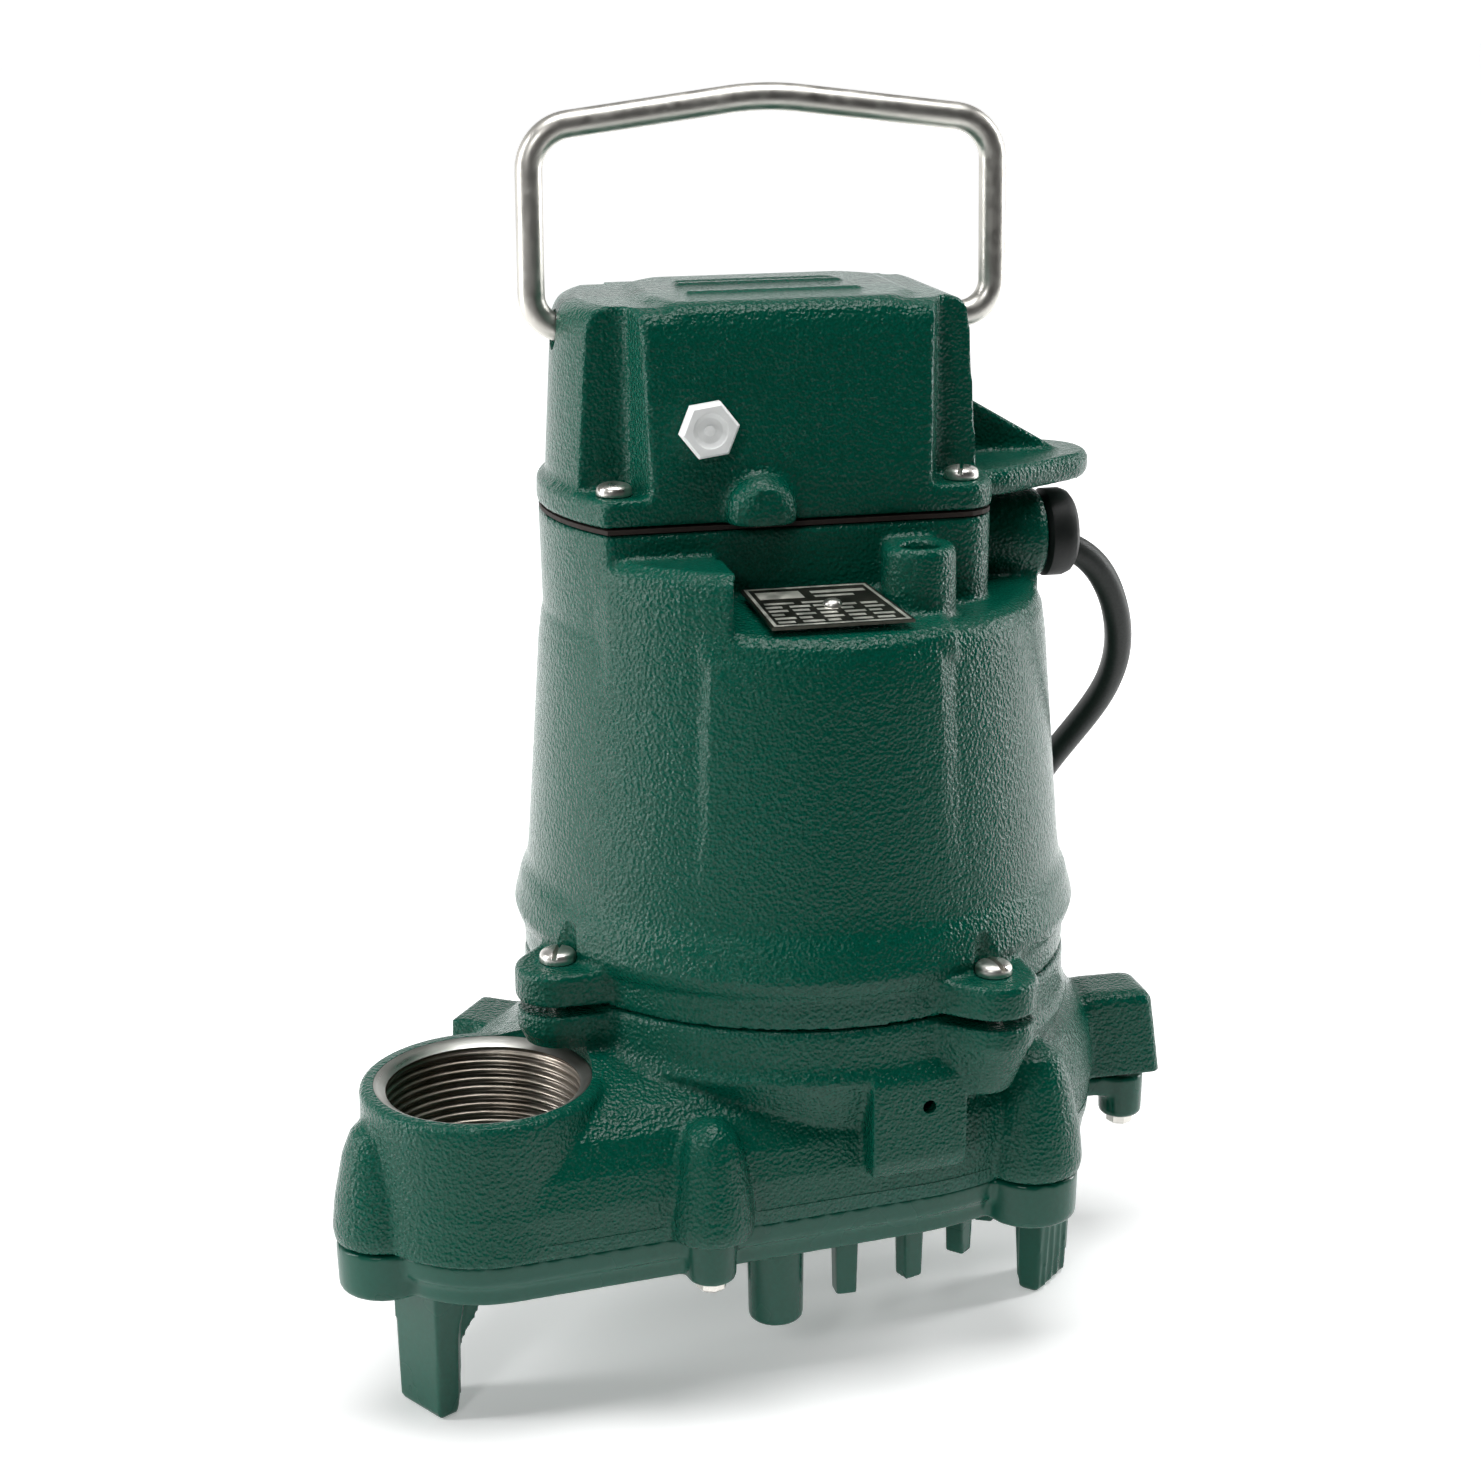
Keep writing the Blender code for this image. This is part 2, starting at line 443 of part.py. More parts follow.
post_list = [(-147, 2.4, 18.0), (-127, 2.4, 18.0), (-108, 6.6, 13.8), (-89, 2.6, 18.0), (-69, 2.5, 18.6), (-48, 2.4, 18.6), (-26, 2.4, 18.6), (-4, 6.4, 13.8), (18, 2.4, 18), (40, 2.4, 18), (62, 2.4, 18), (84, 6.4, 13.8), (106, 2.4, 18), (128, 2.4, 18), (150, 2.4, 18), (172, 6.4, 13.8), (-168, 2.4, 18.0)]
for i, (a, r, z) in enumerate(post_list):
    x, y = polar(50.0 + (3.2 if r > 5 else 0), a)
    if r > 5:
        join(base, turned(f"post{i}", [(r - 0.8, z), (r, z + 0.8), (r + 0.3, 34), (r + 2.6, 41), (r + 3.2, 43.0)], (x, y), 12))
    else:
        join(base, turned_box(f"post{i}", x, y, a, 2 * r, 5.0, z, 43.0, 2 * r + 1.0, 6.0))
# Three legs with gussets. Each outer face is square to its own direction.
LEGS = ((-103.0, -51.6, -148.0, 15.6), (62.6, -24.6, -44.0, 16.2), (1.3, 71.6, 94.7, 16.0))
for i, (x, y, a, w) in enumerate(LEGS):
    u = (math.cos(math.radians(a)), math.sin(math.radians(a)))
    leg = turned_box(f"leg{i}", x - u[0] * 3.0, y - u[1] * 3.0, a, w, 5.8, 0.0, 43.5, w + 2.0, 6.2)
    v = (-u[1], u[0])
    rib = from_rings(f"rib{i}", [[(x - u[0] * d + v[0] * t, y - u[1] * d + v[1] * t, z) for d, z in ((4.0, 3.0), (4.0, 43.2), (24.0, 43.2), (22.0, 36.0), (9.0, 20.0), (7.0, 3.0))] for t in (-w / 2 + 0.6, -w / 2 + 4.4)])
    join(base, leg, rib)
for j in range(3):
    a = math.radians(-44.0)
    u, v = (math.cos(a), math.sin(a)), (-math.sin(a), math.cos(a))
    s = -3.4 + 4.0 * j
    join(base, from_rings(f"flute{j}", [[(62.6 + u[0] * d + v[0] * (s + t), -24.6 + u[1] * d + v[1] * (s + t), z) for d, t in ((-1.0, -0.9), (0.75, -0.6), (0.75, 0.6), (-1.0, 0.9))] for z in (1.0, 38.0)]))
cut(base, turned("inlet", [(17.0, 30), (17.0, 50)], n=32))
for i, c in enumerate(BOSSES):
    cut(base, turned(f"hole{i}", [(2.5, 25), (2.5, 50)], c, 10))
dress(base, "base_plate", "plastic_green", 0.0, 0.4)

# ---- Handle --------------------------------------------------------------------------------------
mid = (ROD_LEFT + ROD_RIGHT) / 2

handle = tube("handle", fillet_path([(-47.0, HANDLE_Y, PIVOT_Z), (ROD_LEFT, HANDLE_Y, PIVOT_Z), (ROD_LEFT + 0.4, HANDLE_Y, GRIP_Z - 1.2), (mid, HANDLE_Y, PEAK_Z), (ROD_RIGHT - 0.4, HANDLE_Y, GRIP_Z - 1.2), (ROD_RIGHT, HANDLE_Y, PIVOT_Z), (34.0, HANDLE_Y, PIVOT_Z)],
              [8.0, 10.5, 70.0, 10.5, 8.0], 5), ROD_R, 10)
dress(handle, "handle", "steel", 1.0, 0.25)

# ---- Oil plug, nameplate, gland -------------------------------------------------------------------
plug = turned_y("plug", [(6.9, -33.9), (6.9, -36.6), (6.2, -37.6)], -27.0, 227.8, 6, math.radians(8))
join(plug, turned_y("stem", [(4.1, -27.0), (4.1, -35.0)], -27.0, 227.8, 16))
cut(plug, turned_y("dimple", [(3.4, -36.4), (4.0, -39)], -27.0, 227.8, 16))
dress(plug, "oil_plug", "nylon", 0.0, 0.4)

plate = from_rings("plate", [[(-17.8, -57.4, z + 186.4 - 1.15), (15.2, -57.4, z + 186.4 - 1.15), (9.0, -37.2, z + 190.6 - 1.05), (-20.6, -37.2, z + 190.6 - 1.05)] for z in (0.0, 0.7)])
dress(plate, "nameplate", "plate", 0.6, 0.4)
rivet = turned("rivet", [(2.1, 188.85), (1.9, 189.5), (1.1, 190.0), (0.3, 190.2)], (-1.5, -47.5), 16)
dress(rivet, "nameplate_rivet", "alu", 1.0, 0.3)

gland = turned_x("gland", [(9.8, 62.8), (11.1, 64.2), (11.1, 69.2), (10.1, 71.9)], GLAND_Y, GLAND_Z, 6)
cut(gland, turned_x("gland_bore", [(5.4, 60), (5.6, 63.5), (8.3, 72.2)], GLAND_Y, GLAND_Z, 20))
dress(gland, "gland_nut", "black", 0.0, 0.45)

# ---- Cord: leaves the gland, bends back and down, and rests in a coil behind the pump --------------
def bevelled_curve(name, points, r):
    """A round cord along the points, as a curve with filled caps."""
    data = bpy.data.curves.new(name, "CURVE")
    data.dimensions, data.bevel_depth, data.bevel_resolution, data.use_fill_caps = "3D", r * MM, 2, True
    spline = data.splines.new("POLY")
    spline.points.add(len(points) - 1)
    for point, p in zip(spline.points, points):
        point.co = (*at(*p), 1.0)
    obj = bpy.data.objects.new(name, data)
    bpy.context.scene.collection.objects.link(obj)
    return obj


cord = bevelled_curve("cord", spline_points(CORD_ROUTE, 14.0), CORD_R)
dress(cord, "cord_free", "cord", 0.0, 0.6)
coil = turned("coil", [(COIL_R - COIL_T, 1.2), (COIL_R - COIL_T + 1.2, 0.3), (COIL_R + COIL_T - 1.2, 0.3), (COIL_R + COIL_T, 1.2), (COIL_R + COIL_T, COIL_H - 1.2), (COIL_R + COIL_T - 1.2, COIL_H), (COIL_R - COIL_T + 1.2, COIL_H), (COIL_R - COIL_T, COIL_H - 1.2)], COIL_C, 32, ring=True)
dress(coil, "cord_coil", "cord", 0.0, 0.6)

plug_x, plug_y, plug_z = COIL_C[0], COIL_C[1] + COIL_R - 1.0, COIL_H + 0.3 + 10.6
plug_body = turned_x("plug_body", [(9.6, plug_x - 13), (10.5, plug_x - 12), (10.5, plug_x - 6), (10.0, plug_x + 8), (6.5, plug_x + 20), (4.6, plug_x + 28)], plug_y, plug_z, 20)
dress(plug_body, "plug_body", "black", 0.0, 0.5)
for name, side in (("plug_blade_a", -1), ("plug_blade_b", 1)):
    blade = box(name, plug_x - 29.5, plug_x - 13.4, plug_y + side * 6.35 - 0.75, plug_y + side * 6.35 + 0.75, plug_z - 5.0, plug_z + 1.4)
    dress(blade, name, "brass", 1.0, 0.3)
pin = turned_x("pin", [(1.2, plug_x - 32.5), (2.35, plug_x - 30.5), (2.35, plug_x - 13.4)], plug_y, plug_z + 5.6, 12)
dress(pin, "plug_earth_pin", "brass", 1.0, 0.3)

# ---- Motor, bearings, seal and impeller -------------------------------------------------------------
dress(turned("stator", [(ROTOR_R + 0.6, 118), (STATOR_R, 118), (STATOR_R, 160), (ROTOR_R + 0.6, 160)], n=28, ring=True), "stator_core", "laminate", 0.6, 0.5)
for name, z0, z1 in (("winding_lower", 105.5, 117.7), ("winding_upper", 160.3, 171.5)):
    dress(turned(name, [(32, z0 + 2), (36, z0), (44, z0), (48, z0 + 2), (48.5, (z0 + z1) / 2), (48, z1 - 1), (44, z1), (36, z1), (32, z1 - 1), (31, (z0 + z1) / 2)], n=20, ring=True), name, "copper", 0.6, 0.45)
dress(turned("rotor", [(SHAFT_R + 0.3, 115), (22, 115), (25, 118), (ROTOR_R, 118.5), (ROTOR_R, 159.5), (25, 160), (22, 163), (SHAFT_R + 0.3, 163)], n=24, ring=True), "rotor", "laminate", 0.7, 0.4)
dress(turned("shaft", [(3.6, 50.5), (3.8, 51.0), (3.8, 62.0), (SHAFT_R, 62.2), (SHAFT_R, 184.5), (SHAFT_R - 0.8, 185.5)], n=16), "shaft", "steel", 1.0, 0.25)
dress(turned("bearing_upper", [(SHAFT_R + 0.3, 174.0), (10.0, 174.0), (10.0, 184.0), (SHAFT_R + 0.3, 184.0)], n=16, ring=True), "bearing_upper", "bronze", 1.0, 0.35)
dress(turned("bo", [(14.2, 96.0), (17.5, 96.0), (17.5, 105.0), (14.2, 105.0)], n=24, ring=True), "bearing_lower_outer", "steel", 1.0, 0.3)
dress(turned("bi", [(SHAFT_R + 0.3, 96.3), (9.8, 96.3), (9.8, 104.8), (SHAFT_R + 0.3, 104.8)], n=20, ring=True), "bearing_lower_inner", "steel", 1.0, 0.3)
seal_plate = turned("seal_plate", [(15.4, 76.0), (22.0, 76.0), (24.0, 84.0), (28.5, 86.4), (61.0, 86.4), (61.0, 92.6), (57.0, 92.8), (57.0, 96.0), (52.0, 96.0), (46.0, 93.0), (24.0, 93.0), (21.5, 96.0), (21.5, 105.5), (17.8, 105.5), (17.8, 95.6), (13.0, 95.6), (13.0, 87.0), (15.4, 87.0)], n=24, ring=True)
dress(seal_plate, "seal_plate", "laminate", 0.5, 0.5)
dress(turned("ss", [(7.5, 76.6), (15.0, 76.6), (15.0, 84.0), (7.5, 84.0)], n=20, ring=True), "seal_stationary", "ceramic", 0.0, 0.3)
dress(turned("sr", [(SHAFT_R + 0.3, 69.4), (12.6, 69.4), (12.6, 73.0), (10.4, 76.3), (SHAFT_R + 0.3, 76.3)], n=20, ring=True), "seal_rotary", "carbon", 0.0, 0.4)
impeller = turned("impeller", [(4.1, 56.0), (9.0, 56.0), (11.0, 62.4), (40.0, 63.4), (40.0, 66.0), (14.0, 67.4), (12.0, 69.0), (SHAFT_R + 0.3, 69.0), (SHAFT_R + 0.3, 61.9), (4.1, 61.9)], n=28, ring=True)
for i in range(6):
    a0 = 60.0 * i
    rows = []
    for z in (52.6, 64.9):
        side = []
        for k in range(5):
            side.append(polar(8.3 + 7.4 * k, a0 - 6.0 * k))
        back = [polar(8.3 + 7.4 * k, a0 - 6.0 * k + math.degrees(2.6 / (8.3 + 7.4 * k))) for k in range(4, -1, -1)]
        rows.append([(x, y, z) for x, y in side + back])
    join(impeller, from_rings(f"vane{i}", rows))
dress(impeller, "impeller", "brown", 0.0, 0.5)
nut = turned("nut", [(6.2, 51.6), (6.8, 52.2), (6.8, 55.6)], n=6)
cut(nut, turned("nut_hole", [(4.1, 40), (4.1, 60)], n=16))
dress(nut, "impeller_nut", "steel", 1.0, 0.3)

# ---- Wiring chamber -----------------------------------------------------------------------------------
terminal = box("terminal_block", -30, -2, -8, 6, 210, 224)
for k in range(3):
    cut(terminal, turned(f"t{k}", [(2.2, 216), (2.2, 230)], (-24 + 8 * k, -1), 12))
join(terminal, box("terminal_foot", -32, 0, 6 - 3.0, 10, 203.0, 212))
dress(terminal, "terminal_block", "nylon", 0.0, 0.5)
dress(turned("overload", [(9.5, 206), (10, 206.6), (10, 222), (9, 223)], (18, 8), 24), "overload_protector", "black", 0.2, 0.4)
dress(box("start_relay", -44, -36, -10, 12, 206, 232), "start_relay", "brown", 0.0, 0.5)


# ---- Fasteners ------------------------------------------------------------------------------------------
def pan_screw(name, x, y, seat, head_r, head_h, shank_r, length, slot_angle=0.0):
    """A slotted pan head above the seat with its shank below."""
    obj = turned(name, [(shank_r, seat - length), (shank_r, seat + 0.1), (head_r, seat + 0.12), (head_r, seat + head_h * 0.45), (head_r * 0.75, seat + head_h * 0.85), (head_r * 0.3, seat + head_h)], (x, y), 10)
    cut(obj, turned_box(name + "_slot", x, y, slot_angle, 0.95, head_r * 2.6, seat + head_h * 0.5, seat + head_h * 2))
    return dress(obj, name, "steel", 1.0, 0.2)


for i, (x, y) in enumerate(SCREWS_CASE):
    pan_screw(f"case_screw_{i + 1}", x, y, CASE_LEDGE + 0.15, 4.1, 3.0, 1.75, 18.0, 20 + 50 * i)
for i in range(4):
    x, y = polar(EAR_R, EAR_START + 90 * i)
    pan_screw(f"flange_screw_{i + 1}", x, y, 102.95, 4.3, 3.2, 1.95, 17.5, 70 + 35 * i)
for i, (x, y) in enumerate(BOSSES):
    foot = BOSS_Z
    obj = turned(f"base_screw_{i + 1}", [(3.0, foot - 2.6), (3.6, foot - 2.0), (3.6, foot - 0.2), (1.6, foot - 0.15), (1.6, foot + 18.0)], (x, y), 8)
    dress(obj, f"base_screw_{i + 1}", "steel", 1.0, 0.25)

# ---- Joint axes: each moving group hangs from an empty on its own axis ---------------------------------
for axis_name, place, turn, members in (
    ("handle_axis", at((ROD_LEFT + ROD_RIGHT) / 2, HANDLE_Y, PIVOT_Z), (0.0, math.pi / 2, 0.0), ("handle",)),
    ("shaft_axis", at(0.0, 0.0, 110.0), (0.0, 0.0, 0.0), ("shaft", "rotor", "bearing_lower_inner", "seal_rotary", "impeller", "impeller_nut")),
):
    empty = bpy.data.objects.new(axis_name, None)
    bpy.context.scene.collection.objects.link(empty)
    empty.location, empty.rotation_euler = place, turn
    bpy.context.view_layer.update()
    for name in members:
        child = bpy.data.objects[name]
        child.parent = empty
        child.matrix_parent_inverse = empty.matrix_world.inverted()
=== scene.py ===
import math

import bmesh
import bpy
import numpy as np
from mathutils import Matrix, Vector


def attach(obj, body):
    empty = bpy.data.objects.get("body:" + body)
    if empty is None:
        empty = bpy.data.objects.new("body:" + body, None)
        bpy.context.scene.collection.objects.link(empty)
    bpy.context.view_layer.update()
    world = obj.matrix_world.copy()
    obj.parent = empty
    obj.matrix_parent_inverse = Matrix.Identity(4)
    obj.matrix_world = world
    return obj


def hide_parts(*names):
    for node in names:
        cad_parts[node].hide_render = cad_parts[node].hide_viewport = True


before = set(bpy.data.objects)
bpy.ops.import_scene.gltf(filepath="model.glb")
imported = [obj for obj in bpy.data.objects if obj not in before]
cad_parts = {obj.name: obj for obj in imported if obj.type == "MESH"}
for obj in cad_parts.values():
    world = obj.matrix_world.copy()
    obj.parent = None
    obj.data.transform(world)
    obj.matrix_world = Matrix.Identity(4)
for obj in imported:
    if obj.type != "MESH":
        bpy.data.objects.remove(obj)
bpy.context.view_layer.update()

MM = 0.001
AXIS = (10.8, -9.05)
FINE = 3
IRON_VOXEL, PLASTIC_VOXEL = 0.0008, 0.0007

# ---- Camera: stands in front of the pump, a little to its left -----------------------------------
azimuth, elevation, roll = math.radians(-11.94), math.radians(15.88), math.radians(-0.58)
back = Vector(
    (math.sin(azimuth) * math.cos(elevation), -math.cos(azimuth) * math.cos(elevation), math.sin(elevation))
)
right = (-back).cross(Vector((0, 0, 1))).normalized()
above = back.cross(right)
side = right * math.cos(roll) + above * math.sin(roll)
above = above * math.cos(roll) - right * math.sin(roll)
camera_data = bpy.data.cameras.new("camera")
camera = bpy.data.objects.new("camera", camera_data)
bpy.context.scene.collection.objects.link(camera)
bpy.context.scene.camera = camera
camera_place = Vector((-0.14383 + 0.0108, -0.61742 - 0.00905, 0.32957))
camera.matrix_world = Matrix.Translation(camera_place) @ Matrix((side, above, back)).transposed().to_4x4()
camera_data.sensor_width, camera_data.lens = 36.0, 64.78
camera_data.shift_x, camera_data.shift_y = 0.00084, -0.0160
camera_data.clip_start, camera_data.clip_end = 0.01, 60.0


# ---- Dimensions, in millimetres from the motor axis and the floor --------------------------------
SCROLL_C, SCROLL_R = (8.0, 9.0), 71.0
HUB_C, HUB_R, HUB_TOP = (-84.5, -45.0), 28.6, 80.2
THREAD_R = 22.3
BORE_FLOOR = 50.0
EAR_R, EAR_START, EAR_SIZE = 72.3, 206.9, 10.3
FLANGE_R, SEAM_Z = 67.7, 93.2
BODY_R_LOW, BODY_R_HIGH = 65.8, 61.0
SHOULDER_Z, NECK_TOP = 183.5, 204.2
CASE_BOTTOM, CASE_LEDGE, CASE_TOP = 205.8, 212.2, 255.5
CASE_ARC, CASE_FRONT, CASE_BACK, CASE_RIGHT = 61.3, -34.0, 36.0, 42.4
SKIRT_Z, SKIRT_BAND_Z, BASE_TOP = 34.5, 40.0, 45.7
BOSS_Z = 34.0
PLATE_Z = 42.2
SCREWS_CASE = ((-47.6, -27.0), (34.6, -27.0), (-46.0, 28.5), (34.6, 28.5))
BOSSES = ((-109.0, -50.5), (-35.2, -66.0), (47.5, -49.5), (89.0, 0.5), (-77.0, 12.0), (22.0, 84.0))
ROD_R = 3.2
PIVOT_Z, GRIP_Z, PEAK_Z, HANDLE_Y = 247.0, 293.6, 299.4, 0.4
ROD_LEFT, ROD_RIGHT = -61.6, 49.9
GLAND_Y, GLAND_Z = 0.0, 192.4
OIL_PLUG = (-27.0, 227.8)
CORD_R = 3.5
CORD_ROUTE = (
    (38, 0, 192.4), (50, 0, 192.4), (62, 0.1, 191.7), (73, 0.6, 188.6), (85, 5, 173.2), (89.2, 14, 153),
    (84.8, 28, 134), (77.6, 42, 115), (73.4, 56, 92), (72.6, 70, 68), (74, 84, 44), (77, 98, 23),
    (80.4, 113, 9), (82.9, 129.7, 3.75))
COIL_C, COIL_R, COIL_H = (30.0, 158.0), 42.0, 28.6


def at(x, y, z=0.0):
    """A point given from the motor axis, in the part's frame and in metres."""
    return Vector(((x + AXIS[0]) * MM, (y + AXIS[1]) * MM, z * MM))


def from_rings(name, rings, closed_loop=False):
    """A closed mesh through rings of equal length. Its ends are capped unless the rings close in a loop."""
    bm = bmesh.new()
    rows = [[bm.verts.new(at(*p)) for p in ring] for ring in rings]
    count = len(rows[0])
    pairs = list(zip(rows, rows[1:]))
    if closed_loop:
        pairs.append((rows[-1], rows[0]))
    for low, high in pairs:
        for i in range(count):
            j = (i + 1) % count
            bm.faces.new((low[i], low[j], high[j], high[i]))
    if not closed_loop:
        bm.faces.new(list(reversed(rows[0])))
        bm.faces.new(rows[-1])
    bmesh.ops.triangulate(bm, faces=bm.faces)
    bmesh.ops.recalc_face_normals(bm, faces=bm.faces)
    if bm.calc_volume(signed=True) < 0:
        bmesh.ops.reverse_faces(bm, faces=bm.faces)
    mesh = bpy.data.meshes.new(name)
    bm.to_mesh(mesh)
    bm.free()
    obj = bpy.data.objects.new(name, mesh)
    bpy.context.scene.collection.objects.link(obj)
    return obj


def circle(cx, cy, r, n):
    """Points of a circle, three times as many in the final render."""
    n = n * FINE if n > 8 else n
    angles = [2 * math.pi * i / n for i in range(n)]
    return [(cx + r * math.cos(t), cy + r * math.sin(t)) for t in angles]


def raised(outline, z):
    return [(x, y, z) for x, y in outline]


def prism(name, outline, z0, z1):
    return from_rings(name, [raised(outline, z0), raised(outline, z1)])


def stack(name, sections):
    """A body through outlines of equal length, each at its own height."""
    return from_rings(name, [raised(outline, z) for outline, z in sections])


def turned(name, profile, c=(0.0, 0.0), n=48, ring=False):
    """Revolves (radius, height) pairs about a vertical axis. A ring's profile closes on itself."""
    return from_rings(name, [[(x, y, z) for x, y in circle(c[0], c[1], r, n)] for r, z in profile], ring)


def turned_x(name, profile, y, z, n):
    """Revolves (radius, x) pairs about a line along X."""
    n = n * FINE if n > 8 else n
    rows = []
    for r, x in profile:
        rows.append(
            [
                (x, y + r * math.cos(2 * math.pi * i / n), z + r * math.sin(2 * math.pi * i / n))
                for i in range(n)])
    return from_rings(name, rows)


def turned_y(name, profile, x, z, n, start=0.0):
    """Revolves (radius, y) pairs about a line along Y."""
    n = n * FINE if n > 8 else n
    rows = []
    for r, y in profile:
        rows.append(
            [
                (
                    x + r * math.cos(start + 2 * math.pi * i / n), y,
                    z + r * math.sin(start + 2 * math.pi * i / n))
                for i in range(n)])
    return from_rings(name, rows)


def box(name, x0, x1, y0, y1, z0, z1):
    return prism(name, [(x0, y0), (x1, y0), (x1, y1), (x0, y1)], z0, z1)


def rounded(corners, k=5):
    """A polygon whose corners (x, y, radius) are rounded with k points each."""
    out = []
    n, k = len(corners), k * FINE
    for i in range(n):
        px, py, _ = corners[i - 1]
        cx, cy, r = corners[i]
        nx, ny, _ = corners[(i + 1) % n]
        a = Vector((px - cx, py - cy)).normalized()
        b = Vector((nx - cx, ny - cy)).normalized()
        half = a.angle(b) / 2
        reach = r / math.tan(half)
        start, end = Vector((cx, cy)) + a * reach, Vector((cx, cy)) + b * reach
        centre = Vector((cx, cy)) + (a + b).normalized() * (r / math.sin(half))
        a0 = math.atan2(start.y - centre.y, start.x - centre.x)
        a1 = math.atan2(end.y - centre.y, end.x - centre.x)
        turn = (a1 - a0 + math.pi) % (2 * math.pi) - math.pi
        for j in range(k):
            t = a0 + turn * j / (k - 1)
            out.append((centre.x + r * math.cos(t), centre.y + r * math.sin(t)))
    return out


def two_circles(c1, r1, c2, r2, n1, n2):
    """The outline round two circles and their outer tangents, anticlockwise. c1 has the larger radius."""
    n1, n2 = n1 * FINE, n2 * FINE
    along = math.atan2(c1[1] - c2[1], c1[0] - c2[0])
    lean = math.asin((r1 - r2) / math.dist(c1, c2))
    low, high = along - math.pi / 2 - lean, along + math.pi / 2 + lean
    out = []
    for i in range(n1):
        t = low + (high - low) * i / (n1 - 1)
        out.append((c1[0] + r1 * math.cos(t), c1[1] + r1 * math.sin(t)))
    for i in range(n2):
        t = high + (low + 2 * math.pi - high) * i / (n2 - 1)
        out.append((c2[0] + r2 * math.cos(t), c2[1] + r2 * math.sin(t)))
    return out


def scroll(offset):
    """The outline of the volute: the pump chamber's circle drawn out to the outlet's."""
    return two_circles(SCROLL_C, SCROLL_R + offset, HUB_C, HUB_R + offset, 28, 14)


def case_plan(inset, front=0.0, corner=9.0):
    """The cap's plan: an arc on the left, flat front, right and back."""
    r, f, b, x = CASE_ARC - inset, CASE_FRONT + front, CASE_BACK - inset, CASE_RIGHT - inset
    arc_points, k = 16 * FINE, 6 * FINE
    out = []
    for cx, cy, a0 in ((x - corner, f + corner, -90), (x - corner, b - corner, 0)):
        for j in range(k):
            t = math.radians(a0 + 90 * j / (k - 1))
            out.append((cx + corner * math.cos(t), cy + corner * math.sin(t)))
    start = math.pi - math.asin(b / r)
    end = math.pi + math.asin(-f / r)
    for i in range(arc_points):
        t = start + (end - start) * i / (arc_points - 1)
        out.append((r * math.cos(t), r * math.sin(t)))
    return out


def tube(name, points, r, n):
    """A round bar along a path, capped at both ends."""
    path = [Vector(p) for p in points]
    rows = []
    side = None
    for i, p in enumerate(path):
        ahead = (path[min(i + 1, len(path) - 1)] - path[max(i - 1, 0)]).normalized()
        if side is None:
            side = ahead.orthogonal().normalized()
        side = (side - ahead * side.dot(ahead)).normalized()
        other = ahead.cross(side)
        rows.append(
            [
                tuple(
                    p + side * (r * math.cos(2 * math.pi * j / n))
                    + other * (r * math.sin(2 * math.pi * j / n)))
                for j in range(n)])
    return from_rings(name, rows)


def fillet_path(points, radii, k):
    """A polyline whose inner corners are replaced by arcs."""
    pts = [Vector(p) for p in points]
    out = [pts[0]]
    for i in range(1, len(pts) - 1):
        a, b = (pts[i - 1] - pts[i]).normalized(), (pts[i + 1] - pts[i]).normalized()
        half = a.angle(b) / 2
        r = radii[i - 1]
        reach = r / math.tan(half)
        centre = pts[i] + (a + b).normalized() * (r / math.sin(half))
        s, e = pts[i] + a * reach - centre, pts[i] + b * reach - centre
        total = s.angle(e)
        for j in range(k + 1):
            t = total * j / k
            out.append(centre + (s * math.sin(total - t) + e * math.sin(t)) / math.sin(total))
    out.append(pts[-1])
    return out


def spline_points(points, spacing):
    """Evenly spaced points on the natural cubic spline through the given points."""
    p = np.array(points, float)
    n = len(p)
    t = np.concatenate([[0.0], np.cumsum(np.linalg.norm(np.diff(p, axis=0), axis=1))])
    h = np.diff(t)[:, None]
    a, b = np.eye(n), np.zeros_like(p)
    for i in range(1, n - 1):
        a[i, i - 1:i + 2] = h[i - 1, 0], 2 * (h[i - 1, 0] + h[i, 0]), h[i, 0]
        b[i] = 6 * ((p[i + 1] - p[i]) / h[i] - (p[i] - p[i - 1]) / h[i - 1])
    m = np.linalg.solve(a, b)
    out = []
    for s in np.linspace(0, t[-1], int(round(t[-1] / spacing)) + 1):
        i = min(int(np.searchsorted(t, s, side="right")) - 1, n - 2)
        u, v, k = t[i + 1] - s, s - t[i], h[i, 0]
        out.append(
            (m[i] * u ** 3 + m[i + 1] * v ** 3) / (6 * k) + (p[i] / k - m[i] * k / 6) * u
            + (p[i + 1] / k - m[i + 1] * k / 6) * v)
    return out


def baked(obj):
    """Applies the object's modifiers."""
    bpy.context.view_layer.update()
    mesh = bpy.data.meshes.new_from_object(obj.evaluated_get(bpy.context.evaluated_depsgraph_get()))
    obj.modifiers.clear()
    obj.data = mesh
    return obj


def weld(obj, *others):
    """Puts the others' faces into obj. soften() then makes one skin of the overlapping bodies."""
    bm = bmesh.new()
    for part in (obj, *others):
        bm.from_mesh(part.data)
    bm.to_mesh(obj.data)
    bm.free()
    for other in others:
        bpy.data.objects.remove(other, do_unlink=True)
    return obj


def soften(obj, voxel, rounds):
    """One skin over all the bodies of a casting, with its edges worn round."""
    remesh = obj.modifiers.new("skin", "REMESH")
    remesh.mode, remesh.voxel_size = "VOXEL", voxel * 1.0
    if rounds:
        smooth = obj.modifiers.new("soft", "SMOOTH")
        smooth.factor, smooth.iterations = 0.5, rounds
    return baked(obj)


def cut(obj, *others):
    """Takes the others out of obj."""
    for other in others:
        mod = obj.modifiers.new("cut", "BOOLEAN")
        mod.operation, mod.solver, mod.object = "DIFFERENCE", "MANIFOLD", other
        baked(obj)
        bpy.data.objects.remove(other, do_unlink=True)
    return obj


